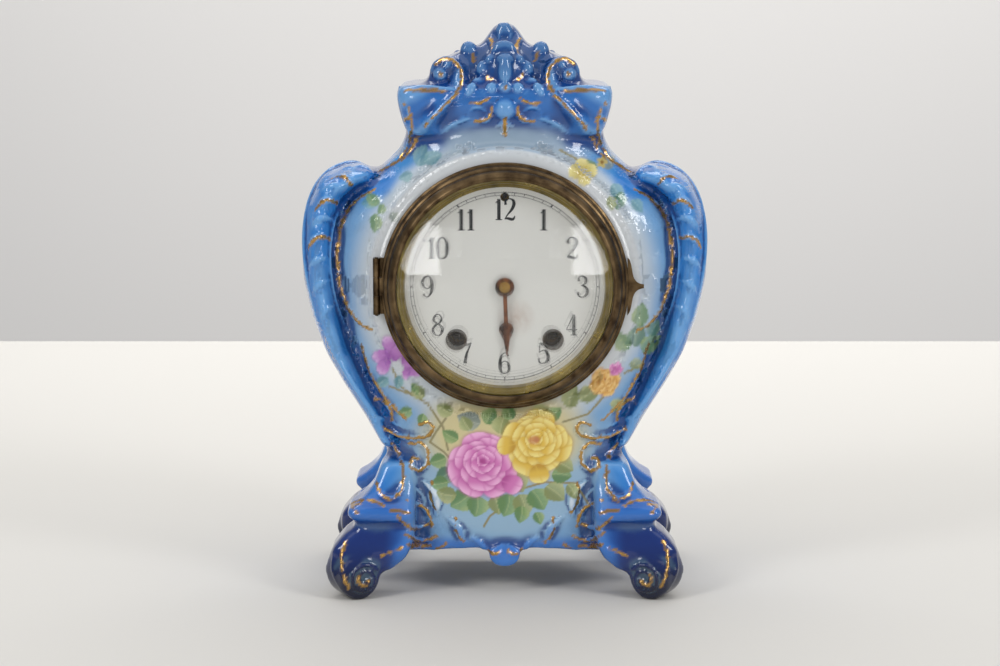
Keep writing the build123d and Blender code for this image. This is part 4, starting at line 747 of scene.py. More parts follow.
# Lines of the front view that colours follow, and the bands of height, side or distance where they fade
EAR_LINE = [(64, 206), (75, 205), (85, 199), (91, 188), (93, 172), (92, 155), (89, 138), (84, 121)]
EAR_LINE += [(76, 106), (66, 88), (60, 72)]
EDGE_LINE = [(84, 108), (70, 86), (61, 66), (66, 54), (76, 44)]
SPRAY_LINE = [(41, 66), (38, 56), (30, 46), (20, 40)]
SHOULDER_START, SHOULDER_END = (186.0, 206.0), (213.0, 220.0)
CREST_START, PEAK_START = (226.0, 238.0), (240.0, 262.0)
CORNICE_START, CORNICE_SIDE = (216.0, 224.0), (26.0, 34.0)
LEG_TOP, LEG_SIDE = (44.0, 60.0), (38.0, 54.0)
FOOT_TOP, FOOT_SIDE = (30.0, 50.0), (46.0, 60.0)
SOLE_TOP, SOLE_SIDE = (6.0, 30.0), (54.0, 70.0)
APRON_TOP, APRON_SIDE = (24.0, 30.0), (44.0, 54.0)
COLLAR_FRONT, COLLAR_EDGE, COLLAR_FOOT = (38.5, 40.5), (67.0, 70.0), (104.0, 120.0)
LIGHTER_ABOVE = (50.0, 70.0)

radial = np.hypot(X, Z - DIAL.z / MM)
front = ease(-normals[:, 1], 0.05, 0.45)
clouds = 0.5 + 0.25 * np.sin(0.11 * X + 0.07 * Z) + 0.25 * np.sin(0.06 * X - 0.13 * Z + 1.7)
ear = line_gap(SIDE, Z, EAR_LINE)
edge = line_gap(SIDE, Z, EDGE_LINE)
sprays = line_gap(SIDE, Z, SPRAY_LINE)
outer = ease(SIDE - 0.1 * np.abs(Y + 6.0), 92.0, 100.0)
shoulder = ease(Z, *SHOULDER_START) * (1.0 - ease(Z, *SHOULDER_END)) * ease(radial, 70.0, 76.0)
crest = ease(Z, *CREST_START)
slab = ease(Z, *CORNICE_START) * ease(SIDE, *CORNICE_SIDE)
neck = (X / 34.0) ** 2 + ((Z - 223.0) / 8.5) ** 2
low_panel = (X / 46.0) ** 2 + ((Z - 60.0) / 34.0) ** 2
warm_panel = (X / 47.0) ** 2 + ((Z - 80.0) / 26.0) ** 2
collar = ease(-Y, *COLLAR_FRONT) * (1.0 - ease(radial, *COLLAR_EDGE))

paint = np.tile(np.array(linear(MIST)), (count, 1))
paint = lay(paint, PANEL_BLUE, 0.95 * ease(radial, 66.0, 80.0))
paint = lay(paint, SHOULDER_BLUE, 0.9 * shoulder)
paint = lay(paint, EAR_BLUE, (1.0 - 0.2 * clouds) * (1.0 - ease(ear, 7.0, 13.0)))
paint = lay(paint, OUTER_BLUE, 0.5 * outer + 0.5 * (1.0 - ease(ear, 1.5, 5.0)) * (1.0 - front))
paint = lay(paint, EDGE_BLUE, 0.95 * (1.0 - ease(edge, 5.0, 17.0)))
paint = lay(paint, LOWER_BLUE, 0.95 * (1.0 - ease(Z, *LEG_TOP)) * ease(SIDE, *LEG_SIDE))
paint = lay(paint, FOOT_BLUE, 0.95 * (1.0 - ease(Z, *FOOT_TOP)) * ease(SIDE, *FOOT_SIDE))
paint = lay(paint, FOOT_INK, 0.95 * (1.0 - ease(Z, *SOLE_TOP)) * ease(SIDE, *SOLE_SIDE))
paint = lay(paint, APRON_BLUE, 0.8 * (1.0 - ease(Z, *APRON_TOP)) * (1.0 - ease(SIDE, *APRON_SIDE)))
paint = lay(paint, CREST_BLUE, (0.97 - 0.15 * clouds) * np.maximum(crest, slab))
paint = lay(paint, PEAK_BLUE, 0.85 * ease(Z, *PEAK_START))
paint = lay(paint, CREST_SIDE_BLUE, 0.6 * crest * (1.0 - front))
paint = lay(paint, NECK_GREY, 0.85 * front * (1.0 - ease(neck, 0.3, 1.2)))
paint = lay(paint, LOW_PANEL_BLUE, 0.95 * front * (1.0 - ease(low_panel, 0.6, 1.2)))
paint = lay(paint, STRAW, 0.95 * front * (1.0 - ease(warm_panel, 0.35, 1.15)))
paint = lay(paint, COLLAR_GREY, 0.8 * collar * ease(Z, *COLLAR_FOOT))

# Colour gathers in the creases of the relief and thins on its ridges; the darker creases are also painted
# shade, and the lighter ridges painted highlight
blue = ease(paint[:, 2] - paint[:, 0], 0.12, 0.35)
ridge_thin_and_sheen = blue * ease(relief, 0.06, 0.40)
upper = ease(Z, *LIGHTER_ABOVE)
paint = lay(paint, CREASE_POOL_AND_SHADE_BLUE, 0.8 * blue * ease(-relief, 0.03, 0.22))
paint = lay(paint, RIDGE_THIN_AND_SHEEN_SKY, 0.55 * ridge_thin_and_sheen * upper)
paint = lay(paint, RIDGE_THIN_AND_SHEEN_BLUE, 0.5 * ridge_thin_and_sheen * (1.0 - upper))
paint = lay(paint, CREASE_POOL_AND_SHADE_GREY, 0.35 * front * (1.0 - blue) * ease(-relief, 0.05, 0.3))
paint = lay(paint, SPRAY_WHITE, 0.8 * front * (1.0 - ease(sprays, 3.0, 7.0)) * ease(relief, 0.02, 0.2))

facing = np.flatnonzero((normals[:, 1] < -0.15) & (Y < 0.0))
FX, FZ = X[facing], Z[facing]


def brush(code, share):
    """Lays a colour on the points that face the front."""
    paint[facing] = lay(paint[facing], code, share)


def flat(px, py):
    """The x and z, in millimetres, of the point seen at a pixel."""
    spot = seen(px, py) / MM
    return spot.x, spot.z


def stem(pixels, width, code):
    brush(code, 1.0 - ease(line_gap(FX, FZ, [flat(*p) for p in pixels]), width, width + 0.5))


def leaf(px, py, length, width, lean, tones, strength=0.9):
    """A painted leaf with a pale midrib; its base is at the pixel."""
    cx, cz = flat(px, py)
    turn = math.radians(lean)
    u = ((FX - cx) * math.cos(turn) + (FZ - cz) * math.sin(turn)) / length
    v = -(FX - cx) * math.sin(turn) + (FZ - cz) * math.cos(turn)
    v = v - 0.12 * width * np.sin(np.pi * u)
    inside = (u > 0.0) & (u < 1.0)
    body = np.sin(np.pi * np.clip(u, 0.0, 1.0) ** 0.75) ** 0.8 * width * (1.0 + 0.04 * np.sin(40.0 * u))
    share = strength * inside * (1.0 - ease(np.abs(v), body - 0.7, body + 0.3))
    brush(tones[1], share)
    brush(tones[0], 0.75 * share * (1.0 - ease(v, -0.4 * width, 0.25 * width)))
    brush(tones[2], 0.6 * share * ease(v, 0.2 * width, 0.9 * width))
    veins = np.abs(np.sin(16.0 * u - 1.6 * np.abs(v) / width * 3.0))
    brush(tones[0], 0.18 * share * (1.0 - ease(veins, 0.0, 0.35)))
    brush(tones[2], 0.55 * share * (1.0 - ease(np.abs(v), 0.1, 0.4)) * (1.0 - ease(u, 0.7, 0.95)))


def petal(cx, cz, ax, az, long, wide, tones, share=1.0):
    """One lapping petal: its middle, the way it opens, its half length and half width."""
    u = (FX - cx) * ax + (FZ - cz) * az
    v = -(FX - cx) * az + (FZ - cz) * ax
    far = np.hypot(u / long, v / wide) * (1.0 + 0.05 * np.cos(3.0 * np.arctan2(v, u)))
    brush(tones[0], 0.38 * share * (1.0 - ease(far, 0.98, 1.28)))
    inside = share * (1.0 - ease(far, 0.94, 1.03))
    brush(tones[1], inside)
    brush(tones[2], 0.9 * inside * ease(u / long, 0.05, 0.9))
    brush(tones[0], 0.8 * inside * (1.0 - ease(u / long, -0.9, 0.0)))
    brush(tones[1], 0.5 * inside * (1.0 - ease(np.abs(v / wide - 0.3 * u / long), 0.02, 0.14)))


# Rings of a rose, from outside in: reach, petals, and a petal's half length and half width
ROSE_RINGS = (
    (0.66, 8, 0.36, 0.40),
    (0.46, 7, 0.32, 0.36),
    (0.29, 6, 0.26, 0.30),
    (0.15, 4, 0.20, 0.24),
    (0.05, 3, 0.12, 0.15),
)
ROSE_TILT = 0.25


def rose(px, py, size, tones, phase):
    """A full rose: rings of lapping petals, each smaller than the last, round a raised heart."""
    cx, cz = flat(px, py)
    for ring, (reach, petals, long, wide) in enumerate(ROSE_RINGS):
        lift = ROSE_TILT * size * (ROSE_RINGS[0][0] - reach)
        for k in range(petals):
            turn = 2 * math.pi * k / petals + phase + 0.7 * ring + 0.16 * math.sin(2.3 * k + phase)
            swing = 1.0 + 0.10 * math.sin(3.1 * k + 1.7 * ring + phase)
            ax, az = math.cos(turn), math.sin(turn)
            petal(
                cx + size * reach * swing * ax,
                cz + lift + size * reach * swing * az * 0.95,
                ax, az, size * long, size * wide * swing, tones,
            )
    heart = np.hypot(FX - cx, FZ - cz - 0.6 * ROSE_TILT * size)
    brush(tones[0], 0.85 * (1.0 - ease(heart, 0.04 * size, 0.13 * size)))


def blossom(px, py, size, petals, code, heart):
    """A small open flower with round petals and a dark heart."""
    cx, cz = flat(px, py)
    turn = np.arctan2(FZ - cz, FX - cx)
    reach = np.hypot(FX - cx, FZ - cz)
    rim = size * (0.55 + 0.45 * np.abs(np.cos(petals / 2 * turn)))
    brush(code, 1.0 - ease(reach, rim - 0.5, rim + 0.3))
    brush(heart, 1.0 - ease(reach, size * 0.22, size * 0.34))


GREEN = ("4c7648", "7d9c62", "aebb86")
DEEP_GREEN = ("3c6650", "64886a", "9db295")
BLUE_GREEN = ("4a7c88", "6f9ea4", "a9c6c4")
SAGE = ("75804e", "9aa36c", "c3c492")
GREY_LEAF = ("6f7c76", "8f9a90", "b3b9a6")
PINK = ("a53c86", "cf74b4", "efb6dc")
YELLOW = ("b5862a", "dcb648", "efe08e")
ORANGE = ("a8602a", "d6a050", "ecca84")
BROWN = "8f8762"
VIOLET = ("8c4a9c", "b878c0", "d8b0dc")
CREAM = ("a89048", "cfc070", "e2d898")
HEART_RED, BUFF, UMBER = "c0705c", "b8a868", "8a6a34"

# Where the flowers are painted, in pixels. A leaf: base, length, width, lean and tones, in millimetres
# and degrees. A rose: middle, size, tones and turn. A petal: middle, the way it opens and its size
STEMS = (
    [(389, 386), (410, 394), (428, 404), (443, 427), (448, 450)],
    [(392, 368), (402, 388), (420, 398)], [(430, 442), (444, 452), (453, 462)],
    [(517, 490), (545, 482), (575, 483), (588, 503)], [(501, 508), (490, 516), (484, 526)],
    [(563, 422), (588, 414), (606, 394)], [(624, 373), (636, 368), (644, 363)],
    [(446, 418), (436, 432), (430, 442)],
)
SHOULDER_STEM = ((560, 150), (575, 158), (592, 172))
BOUQUET_LEAVES = (
    (424, 398, 9.0, 3.4, 130.0, SAGE), (412, 410, 8.0, 3.2, 200.0, GREEN),
    (424, 414, 7.0, 2.8, 250.0, GREEN), (452, 414, 9.0, 3.6, 150.0, SAGE),
    (458, 440, 9.0, 3.6, 150.0, GREEN), (480, 424, 12.0, 5.0, 160.0, GREY_LEAF),
    (486, 424, 9.0, 4.2, 60.0, GREEN), (500, 434, 10.0, 5.0, 75.0, SAGE),
    (512, 420, 9.0, 3.6, 110.0, GREEN), (470, 430, 8.0, 3.6, 120.0, SAGE),
    (532, 418, 10.0, 3.8, 30.0, SAGE), (548, 420, 9.0, 3.6, 40.0, GREEN),
    (568, 408, 12.0, 4.6, 70.0, SAGE), (580, 400, 12.0, 4.4, 30.0, SAGE),
    (612, 410, 8.0, 3.6, 40.0, SAGE), (446, 458, 9.0, 4.2, 200.0, GREEN),
    (452, 470, 10.0, 4.6, 215.0, DEEP_GREEN), (448, 482, 9.0, 4.2, 190.0, GREEN),
    (470, 494, 12.0, 6.0, 215.0, GREEN), (456, 496, 10.0, 4.6, 170.0, SAGE),
    (478, 496, 11.0, 5.8, 262.0, GREEN), (494, 496, 10.0, 4.6, 285.0, SAGE),
    (510, 494, 12.0, 6.0, 255.0, GREEN), (520, 494, 12.0, 5.6, 285.0, SAGE),
    (532, 490, 12.0, 6.0, 300.0, GREEN), (546, 486, 12.0, 5.4, 320.0, SAGE),
    (522, 506, 9.0, 4.0, 262.0, GREEN), (512, 474, 11.0, 5.6, 300.0, SAGE),
    (552, 474, 10.0, 5.0, 350.0, GREEN), (556, 462, 10.0, 4.6, 330.0, SAGE),
    (568, 484, 9.0, 3.4, 300.0, SAGE), (536, 512, 7.0, 3.0, 290.0, GREEN),
)
PINK_ROSE = (483, 466, 17.5, PINK, 0.4)
YELLOW_ROSE = (537, 444, 16.5, YELLOW, 1.3)
YELLOW_ROSE_HEART = (534, 440)
FALLEN_PETALS = (
    ((539, 474), 0.1, -1.0, 5.0, 5.0, YELLOW),
    ((506, 446), -1.0, 0.1, 4.5, 4.5, YELLOW),
    ((512, 484), 0.8, -0.5, 5.0, 4.6, PINK),
)
VIOLET_PETALS = (
    (382, 356, -0.9, -0.3, 5.0), (390, 346, -0.4, 0.9, 5.4), (398, 352, 0.5, 0.8, 4.6),
    (384, 366, -0.5, -0.9, 5.2), (408, 364, 0.6, -0.7, 4.2), (414, 372, 0.9, -0.2, 3.6),
    (406, 374, 0.0, -1.0, 3.0),
)
VIOLET_LEAVES = (
    (400, 376, 7.0, 2.6, 255.0, BLUE_GREEN),
    (388, 378, 8.0, 3.0, 215.0, BLUE_GREEN),
    (412, 384, 6.0, 2.2, 300.0, GREEN),
)
ORANGE_ROSE = (605, 382, 7.4, ORANGE, 2.0)
PINK_BUD = (616, 369, 3.4, PINK, 1.0)
SIDE_LEAVES = (
    (628, 350, 11.0, 4.4, 120.0, GREEN), (634, 346, 12.0, 5.0, 70.0, DEEP_GREEN),
    (642, 352, 12.0, 4.6, 40.0, GREEN), (640, 326, 12.0, 4.6, 85.0, GREEN),
    (650, 336, 9.0, 3.8, 60.0, DEEP_GREEN), (630, 362, 8.0, 3.2, 330.0, SAGE),
    (418, 166, 11.0, 4.0, 70.0, BLUE_GREEN), (424, 162, 10.0, 3.4, 25.0, BLUE_GREEN),
    (412, 174, 7.0, 2.6, 200.0, BLUE_GREEN), (378, 200, 9.0, 3.0, 195.0, BLUE_GREEN),
    (380, 204, 9.0, 3.0, 150.0, GREEN), (376, 214, 9.0, 3.4, 265.0, GREEN),
    (384, 204, 6.0, 2.2, 240.0, GREEN), (392, 212, 6.0, 2.6, 290.0, GREY_LEAF),
    (596, 172, 8.0, 3.0, 130.0, GREEN), (604, 168, 8.0, 3.2, 40.0, GREY_LEAF),
    (612, 184, 10.0, 3.4, 300.0, BLUE_GREEN), (622, 192, 9.0, 3.2, 250.0, DEEP_GREEN),
    (632, 200, 8.0, 3.0, 310.0, BLUE_GREEN), (610, 196, 7.0, 2.8, 280.0, SAGE),
)
CREAM_PETALS = (
    (576, 172, -1.0, 0.2), (582, 166, 0.0, 1.0), (584, 178, 0.2, -1.0), (590, 171, 1.0, 0.2),
)
SHOULDER_BLOSSOM = (602, 162)
STEM_HALF, SIDE_LEAF_STRENGTH = 0.30, 0.7

for pixels in STEMS:
    stem(pixels, STEM_HALF, BROWN)
for spray in BOUQUET_LEAVES:
    leaf(*spray)
rose(*PINK_ROSE)
rose(*YELLOW_ROSE)
for at, ax, az, long, wide, tones in FALLEN_PETALS:
    petal(*flat(*at), ax, az, long, wide, tones)
heart_x, heart_z = flat(*YELLOW_ROSE_HEART)
brush(HEART_RED, 0.6 * (1.0 - ease(np.hypot(FX - heart_x, 1.3 * (FZ - heart_z)), 1.5, 4.0)))

# Small flowers and leaves at the sides and shoulders
for px, py, ax, az, size in VIOLET_PETALS:
    petal(*flat(px, py), ax, az, size, 0.6 * size, VIOLET)
for spray in VIOLET_LEAVES:
    leaf(*spray)
rose(*ORANGE_ROSE)
rose(*PINK_BUD)
for spray in SIDE_LEAVES:
    leaf(*spray, SIDE_LEAF_STRENGTH)
stem(SHOULDER_STEM, STEM_HALF, BROWN)
for px, py, ax, az in CREAM_PETALS:
    petal(*flat(px, py), ax, az, 3.8, 3.2, CREAM, 0.85)
blossom(*SHOULDER_BLOSSOM, 3.0, 5, BUFF, UMBER)

# Gilding on the raised scrolls, worn at their sides, and a few flat strokes of it
GILDING = "b58d4a"
GILT_STROKES = (
    [(408, 545), (418, 545), (430, 546)],
    [(392, 510), (400, 511), (410, 513)],
    [(346, 503), (353, 505), (360, 504)],
    [(357, 513), (352, 506)],
    [(405, 90), (425, 90), (445, 91)],
)
STROKE_HALF, SAMPLE_PITCH = 0.7, 0.0006
samples = []
for spot, proud in line_samples(gilded, SAMPLE_PITCH):
    samples.append((spot + Vector((0.0, -proud * MM, 0.0)), 0.25 + 0.14 * proud))
near = gaps_to(samples, spots, Y < 6.0)
worn = 0.30 * np.sin(0.9 * X) * np.sin(0.8 * Z)
worn += 0.2 * np.sin(2.1 * Z + X) + 0.1 * np.sin(3.7 * X - 2.9 * Z)
strokes = []
for pixels in GILT_STROKES:
    points = [seen(*pixel) for pixel in pixels]
    for line in (points, mirrored(points)):
        strokes.append((line, [STROKE_HALF] * len(line)))
near_stroke = gaps_to(line_samples(strokes, SAMPLE_PITCH), spots, Y < 0.0)
gilt = 1.0 - ease(near + worn, 0.15, 0.6)
gilt = np.maximum(gilt, 0.9 * (1.0 - ease(near_stroke + 0.5 * worn, 0.0, 0.4)))
paint = lay(paint, GILDING, gilt)
gilt = np.clip(gilt * 0.85, 0.0, 0.85)

layer = mesh.color_attributes.new("paint", "FLOAT_COLOR", "POINT")
colours = np.hstack([np.clip(paint, 0.0, 1.0), np.ones((count, 1))])
layer.data.foreach_set("color", colours.astype(np.float32).ravel())
mask = mesh.attributes.new("gilt", "FLOAT", "POINT")
mask.data.foreach_set("value", gilt.astype(np.float32))
mesh.materials.clear()
mesh.materials.append(PORCELAIN)
pick(case)
bpy.ops.object.shade_smooth()

# Cut into bands from front to back, each under the triangle count set for a piece
middles = face_centres(mesh)
bands = math.ceil(2 * len(mesh.polygons) / PIECE_TRIANGLES)
cuts = np.quantile(middles[:, 1], [k / bands for k in range(1, bands)]) if bands > 1 else []
pieces = [case]
for k, cut in enumerate(cuts):
    select_faces(case.data, face_centres(case.data)[:, 1] < cut)
    pick(case)
    before = set(bpy.data.objects)
    bpy.ops.object.mode_set(mode="EDIT")
    bpy.ops.mesh.separate(type="SELECTED")
    bpy.ops.object.mode_set(mode="OBJECT")
    piece = (set(bpy.data.objects) - before).pop()
    piece.name = f"case_porcelain_band_{k + 1}"
    pieces.append(piece)
for piece in pieces:
    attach(piece, "clock_body")
    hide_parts("porcelain_case")


# Bezel, glass and dial


def lathe(name, profile, mat, sides=144):
    """Turns a closed profile of (radius, y), in millimetres, about the dial's axis."""
    bpy.ops.mesh.primitive_circle_add(vertices=len(profile), radius=0.01, fill_type="NGON")
    obj = bpy.context.object
    obj.name = name
    for vertex, (radius, y) in zip(obj.data.vertices, profile):
        vertex.co = (radius * MM, y * MM, DIAL.z)
    pick(obj)
    bpy.ops.object.mode_set(mode="EDIT")
    bpy.ops.mesh.select_all(action="SELECT")
    bpy.ops.mesh.delete(type="ONLY_FACE")
    bpy.ops.mesh.select_all(action="SELECT")
    bpy.ops.mesh.spin(steps=sides, angle=2 * math.pi, center=DIAL, axis=(0.0, 1.0, 0.0))
    bpy.ops.mesh.select_all(action="SELECT")
    bpy.ops.mesh.remove_doubles(threshold=1e-6)
    bpy.ops.mesh.normals_make_consistent(inside=False)
    bpy.ops.object.mode_set(mode="OBJECT")
    obj.data.materials.append(mat)
    smooth_shade(obj, 32.0)
    return obj


def upright_rod(name, at, radius, length, mat):
    bpy.ops.mesh.primitive_cylinder_add(vertices=40, radius=radius, depth=length, location=at)
    obj = bpy.context.object
    obj.name = name
    obj.data.materials.append(mat)
    pick(obj)
    bpy.ops.object.transform_apply(location=True, rotation=True, scale=True)
    smooth_shade(obj)
    return obj


# Bezel, turned as one ring of mouldings, with its hinge knuckle and the leaf that carries it
BACK = BEZEL_BACK / MM
FRONT = BACK - 12.3
bezel = lathe(
    "bezel_mouldings",
    [
        (53.4, BACK), (60.0, BACK), (60.2, BACK - 0.3), (60.2, BACK - 2.0), (59.7, BACK - 2.5),
        (59.0, BACK - 2.7), (58.7, BACK - 3.3), (58.9, BACK - 4.1), (58.6, BACK - 5.2), (57.9, BACK - 5.9),
        (57.1, BACK - 6.2), (56.9, BACK - 6.9), (56.8, BACK - 8.6), (56.5, BACK - 9.7), (55.7, BACK - 10.7),
        (54.8, BACK - 11.5), (54.2, BACK - 12.1), (53.6, FRONT), (52.9, FRONT + 0.1), (52.5, FRONT + 0.5),
        (52.4, FRONT + 2.4), (53.4, FRONT + 2.4),
    ],
    PATINA,
)
HINGE_X, HINGE_Y, KNUCKLE_R, KNUCKLE_TALL = -0.0622, -0.0455, 0.0017, 0.0086
LEAF_X, LEAF_WIDE, LEAF_THICK = -0.0603, 4.4, 1.4
knuckle = upright_rod("bezel_knuckle", (HINGE_X, HINGE_Y, DIAL.z), KNUCKLE_R, KNUCKLE_TALL, PATINA)
bpy.ops.mesh.primitive_cube_add(size=MM, location=(LEAF_X, HINGE_Y, DIAL.z))
hinge_leaf = bpy.context.object
hinge_leaf.scale = (LEAF_WIDE, LEAF_THICK, KNUCKLE_TALL / MM)
hinge_leaf.data.materials.append(PATINA)
pick(hinge_leaf)
bpy.ops.object.transform_apply(location=True, rotation=True, scale=True)
pick(knuckle, hinge_leaf, bezel)
bpy.ops.object.join()
bezel = bpy.context.object
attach(bezel, "bezel_door")
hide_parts("bezel_ring")

# Domed glass: part of a sphere with a flat rim
GLASS_R, RIM_R, DOME_RISE = 52.1, 53.3, 4.4
DOME_EDGE = math.radians(9.8)
RIM_FRONT, RIM_BACK = -53.6, -52.0
dome_r = GLASS_R / math.sin(DOME_EDGE)
rise = DOME_RISE / (1.0 - math.cos(DOME_EDGE))
outside = []
for turn in np.radians(np.linspace(0.05, 9.8, 14)):
    y = RIM_FRONT - rise * (math.cos(turn) - math.cos(DOME_EDGE))
    outside.append((dome_r * math.sin(turn), y))
inside = [(radius * 0.972, y + RIM_BACK - RIM_FRONT) for radius, y in outside]
glass_profile = outside + [(RIM_R, RIM_FRONT), (RIM_R, RIM_BACK)] + inside[::-1]
glass = lathe("dial_glass", glass_profile, GLASS, 96)
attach(glass, "bezel_door")
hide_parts("bezel_glass")

sight = lathe(
    "sight_ring_turned",
    [
        (RIM_R, RIM_BACK), (RIM_R, -49.0), (52.6, -49.0), (49.3, -46.0), (48.6, -46.0), (48.5, -46.6),
        (49.2, -47.2), (49.6, -48.2), (50.3, -48.8), (50.6, -49.8), (51.4, -50.5), (51.7, -51.4),
        (GLASS_R, RIM_BACK),
    ],
    GILT,
)
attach(sight, "bezel_door")
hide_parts("sight_ring")

# Printing on the dial: numerals of thick and thin strokes, each a line of points with its widths
LOOP_6 = [(0.46, 0.84), (0.42, 0.96), (0.28, 1.01), (0.13, 0.88), (0.06, 0.60), (0.06, 0.30), (0.14, 0.04)]
LOOP_6 += [(0.29, -0.01), (0.45, 0.06), (0.52, 0.29), (0.45, 0.53), (0.29, 0.61), (0.13, 0.52), (0.09, 0.36)]
WIDTHS_6 = [0.10, 0.04, 0.03, 0.08, 0.13, 0.14, 0.08, 0.03, 0.08, 0.13, 0.08, 0.03, 0.05, 0.05]
STROKES = {
    "0": [([(0.29, 1.01), (0.10, 0.94), (0.05, 0.5), (0.10, 0.06), (0.29, -0.01), (0.48, 0.06), (0.53, 0.5),
            (0.48, 0.94), (0.29, 1.01)], [0.03, 0.08, 0.14, 0.08, 0.03, 0.08, 0.14, 0.08, 0.03])],
    "1": [([(0.08, 0.82), (0.18, 0.86), (0.24, 1.0)], [0.03, 0.04, 0.05]),
          ([(0.24, 1.0), (0.24, 0.5), (0.24, 0.0)], [0.13, 0.13, 0.13]),
          ([(0.08, 0.015), (0.24, 0.015), (0.40, 0.015)], [0.03, 0.04, 0.03])],
    "2": [([(0.11, 0.72), (0.07, 0.86), (0.16, 0.99), (0.32, 1.02), (0.49, 0.92), (0.50, 0.70), (0.36, 0.44),
            (0.16, 0.22), (0.06, 0.03)], [0.11, 0.08, 0.04, 0.04, 0.12, 0.14, 0.10, 0.04, 0.03]),
          ([(0.06, 0.04), (0.18, 0.10), (0.36, 0.02), (0.50, 0.04), (0.54, 0.20)],
           [0.03, 0.10, 0.12, 0.09, 0.03])],
    "3": [([(0.12, 0.76), (0.09, 0.90), (0.20, 1.0), (0.34, 1.01), (0.47, 0.90), (0.45, 0.68), (0.34, 0.56),
            (0.22, 0.55)], [0.11, 0.07, 0.04, 0.04, 0.12, 0.11, 0.05, 0.03]),
          ([(0.22, 0.55), (0.40, 0.54), (0.53, 0.40), (0.52, 0.14), (0.36, -0.01), (0.20, 0.0), (0.07, 0.10),
            (0.10, 0.25)], [0.03, 0.05, 0.12, 0.13, 0.05, 0.04, 0.07, 0.11])],
    "4": [([(0.38, 1.0), (0.22, 0.66), (0.04, 0.28)], [0.05, 0.03, 0.03]),
          ([(0.04, 0.27), (0.30, 0.27), (0.56, 0.27)], [0.035, 0.035, 0.035]),
          ([(0.39, 1.0), (0.39, 0.5), (0.39, 0.0)], [0.10, 0.13, 0.13]),
          ([(0.24, 0.015), (0.39, 0.015), (0.54, 0.015)], [0.03, 0.04, 0.03])],
    "5": [([(0.12, 0.96), (0.24, 0.92), (0.38, 0.94), (0.48, 1.02)], [0.08, 0.12, 0.10, 0.03]),
          ([(0.12, 0.98), (0.11, 0.75), (0.09, 0.52)], [0.03, 0.03, 0.03]),
          ([(0.09, 0.52), (0.24, 0.64), (0.44, 0.60), (0.54, 0.36), (0.48, 0.08), (0.31, -0.01), (0.16, 0.0),
            (0.06, 0.10), (0.09, 0.24)], [0.03, 0.04, 0.10, 0.14, 0.12, 0.05, 0.04, 0.07, 0.11])],
    "6": [(LOOP_6, WIDTHS_6)],
    "7": [([(0.07, 0.78), (0.09, 0.98), (0.22, 0.92), (0.38, 0.88), (0.54, 0.99)],
           [0.03, 0.05, 0.12, 0.10, 0.03]),
          ([(0.54, 0.99), (0.42, 0.70), (0.28, 0.42), (0.25, 0.0)], [0.03, 0.05, 0.10, 0.15])],
    "8": [([(0.29, 0.55), (0.12, 0.64), (0.10, 0.84), (0.20, 1.01), (0.38, 1.01), (0.48, 0.84), (0.45, 0.64),
            (0.29, 0.55)], [0.05, 0.10, 0.11, 0.04, 0.04, 0.08, 0.08, 0.05]),
          ([(0.29, 0.55), (0.10, 0.45), (0.05, 0.22), (0.18, -0.01), (0.40, -0.01), (0.53, 0.22),
            (0.48, 0.45), (0.29, 0.55)], [0.05, 0.08, 0.12, 0.05, 0.04, 0.13, 0.11, 0.05])],
    "9": [([(0.58 - x, 1.0 - z) for x, z in LOOP_6], WIDTHS_6)],
}
DIGIT_STEP = {d: 0.46 if d == "1" else 0.58 for d in "0123456789"}


def stroke(points, widths, left, foot):
    """One flat pen stroke of a numeral on the enamel."""
    spots = [Vector((left + x * NUMERAL_TALL, PRINT_Y, foot + z * NUMERAL_TALL)) for x, z in points]
    obj = sweep("stroke", spots, [(0.012 + 1.15 * w) * NUMERAL_TALL / MM / 2 for w in widths])
    for vertex in obj.data.vertices:
        vertex.co.y = PRINT_Y + 0.02 * (vertex.co.y - PRINT_Y)
    return obj


PRINT_Y = DIAL_FRONT - 0.00004
TRACK_RINGS, TRACK_BACK, TRACK_FRONT = ((45.9, 0.16), (44.5, 0.12)), -45.6, -45.66
TICK_RING, TICK_LONG, HOUR_TICK, MINUTE_TICK = 0.0452, 1.5, 0.7, 0.25
printed = []
for hour in range(1, 13):
    turn = math.radians(90.0 - 30.0 * hour)
    digits = str(hour)
    wide = sum(DIGIT_STEP[d] for d in digits)
    left = NUMERAL_RING * math.cos(turn) - wide * NUMERAL_TALL / 2
    foot = DIAL.z + NUMERAL_RING * math.sin(turn) - NUMERAL_TALL / 2
    for digit in digits:
        for points, widths in STROKES[digit]:
            printed.append(stroke(points, widths, left, foot))
        left += DIGIT_STEP[digit] * NUMERAL_TALL
for ring_r, thick in TRACK_RINGS:
    within, beyond = ring_r - thick, ring_r + thick
    track = [(within, TRACK_BACK), (beyond, TRACK_BACK), (beyond, TRACK_FRONT), (within, TRACK_FRONT)]
    printed.append(lathe("track", track, PRINT))
for minute in range(60):
    turn = math.radians(6.0 * minute)
    bpy.ops.mesh.primitive_cube_add(size=MM)
    tick = bpy.context.object
    tick.scale = (TICK_LONG, 0.08, MINUTE_TICK if minute % 5 else HOUR_TICK)
    tick.rotation_euler = (0.0, -turn, 0.0)
    tick.location = (TICK_RING * math.cos(turn), PRINT_Y, DIAL.z + TICK_RING * math.sin(turn))
    printed.append(tick)
pick(*printed)
bpy.ops.object.transform_apply(location=True, rotation=True, scale=True)
bpy.ops.object.join()
printing = bpy.context.object
printing.name = "dial_printing"
printing.data.materials.clear()
printing.data.materials.append(PRINT)
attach(printing, "clock_body")

# Hour hand, rusted, with eased edges
hand = node_copy("hour_hand", "hour_hand_rusted")
edge = hand.modifiers.new("edge", "BEVEL")
edge.width, edge.segments = 0.00018, 2
pick(hand)
bpy.ops.object.modifier_apply(modifier=edge.name)
hand.data.materials.clear()
hand.data.materials.append(RUST)
smooth_shade(hand)
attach(hand, "hour_work")
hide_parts("hour_hand")

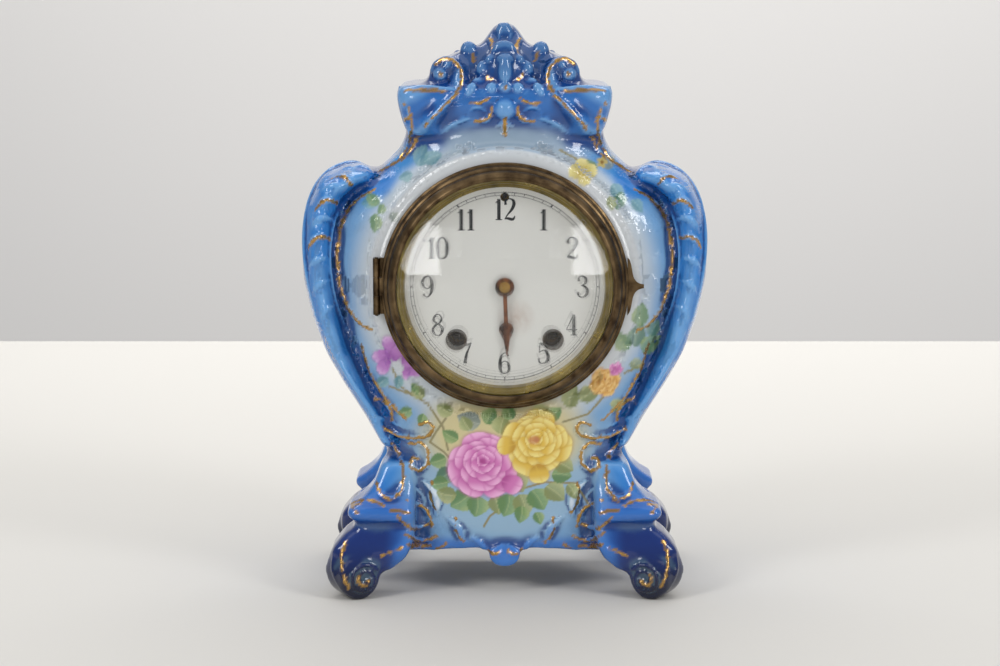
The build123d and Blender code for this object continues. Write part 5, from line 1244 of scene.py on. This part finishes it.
# Floor, light and camera
FLOOR_SIZE, FLOOR_EDGE = 6.0, 0.74
BACKDROP_SIZE, BACKDROP_AT, BACKDROP_MIDDLE = 8.0, 2.4, 3.0
bpy.ops.mesh.primitive_plane_add(size=FLOOR_SIZE, location=(0.0, FLOOR_EDGE - FLOOR_SIZE / 2, 0.0))
floor = bpy.context.object
floor.name = "floor"
floor.data.materials.append(material("pale_floor", "d9d6d0", 0.0, 0.75))
bpy.ops.mesh.primitive_plane_add(
    size=BACKDROP_SIZE, location=(0.0, BACKDROP_AT, BACKDROP_MIDDLE), rotation=(math.pi / 2, 0.0, 0.0)
)
backdrop = bpy.context.object
backdrop.name = "backdrop"
backdrop.data.materials.append(material("pale_backdrop", "f2efeb", 0.0, 0.8))

world = bpy.data.worlds.new("studio")
bpy.context.scene.world = world
world.use_nodes = True
sky = world.node_tree.nodes["Background"]
sky.inputs["Color"].default_value = (0.86, 0.88, 0.92, 1.0)
sky.inputs["Strength"].default_value = 0.34


def softbox(name, at, toward, size, power):
    """A rectangular soft light that faces a spot."""
    light = bpy.data.lights.new(name, "AREA")
    light.shape = "RECTANGLE"
    light.size, light.size_y = size
    light.energy = power
    lamp = bpy.data.objects.new(name, light)
    bpy.context.scene.collection.objects.link(lamp)
    lamp.location = at
    lamp.rotation_euler = (Vector(toward) - Vector(at)).to_track_quat("-Z", "Y").to_euler()


softbox("window_left", (-0.80, -0.70, 0.80), (0.0, 0.0, 0.14), (0.30, 0.50), 4.5)
softbox("window_right", (0.85, -0.65, 0.70), (0.0, 0.0, 0.14), (0.30, 0.50), 4.5)
softbox("near_left", (-0.44, -1.36, 0.17), (0.0, 0.0, 0.15), (0.20, 0.26), 1.3)
softbox("near_right", (0.46, -1.36, 0.17), (0.0, 0.0, 0.15), (0.20, 0.26), 1.3)
softbox("overhead", (0.0, -0.1, 1.5), (0.0, 0.0, 0.0), (2.2, 1.4), 7.0)
softbox("backdrop_wash", (0.3, 0.9, 1.3), (0.2, 2.4, -0.05), (2.6, 0.5), 27.0)
softbox("floor_behind", (0.0, 0.55, 0.95), (0.0, 0.03, 0.0), (1.2, 0.3), 3.0)

lens = bpy.data.cameras.new("camera")
lens.lens, lens.sensor_width = LENS, SENSOR
camera = bpy.data.objects.new("camera", lens)
bpy.context.scene.collection.objects.link(camera)
camera.location = EYE
camera.rotation_euler = (math.pi / 2 - ELEVATION, 0.0, 0.0)
bpy.context.scene.camera = camera
bpy.context.scene.view_settings.view_transform = "Standard"
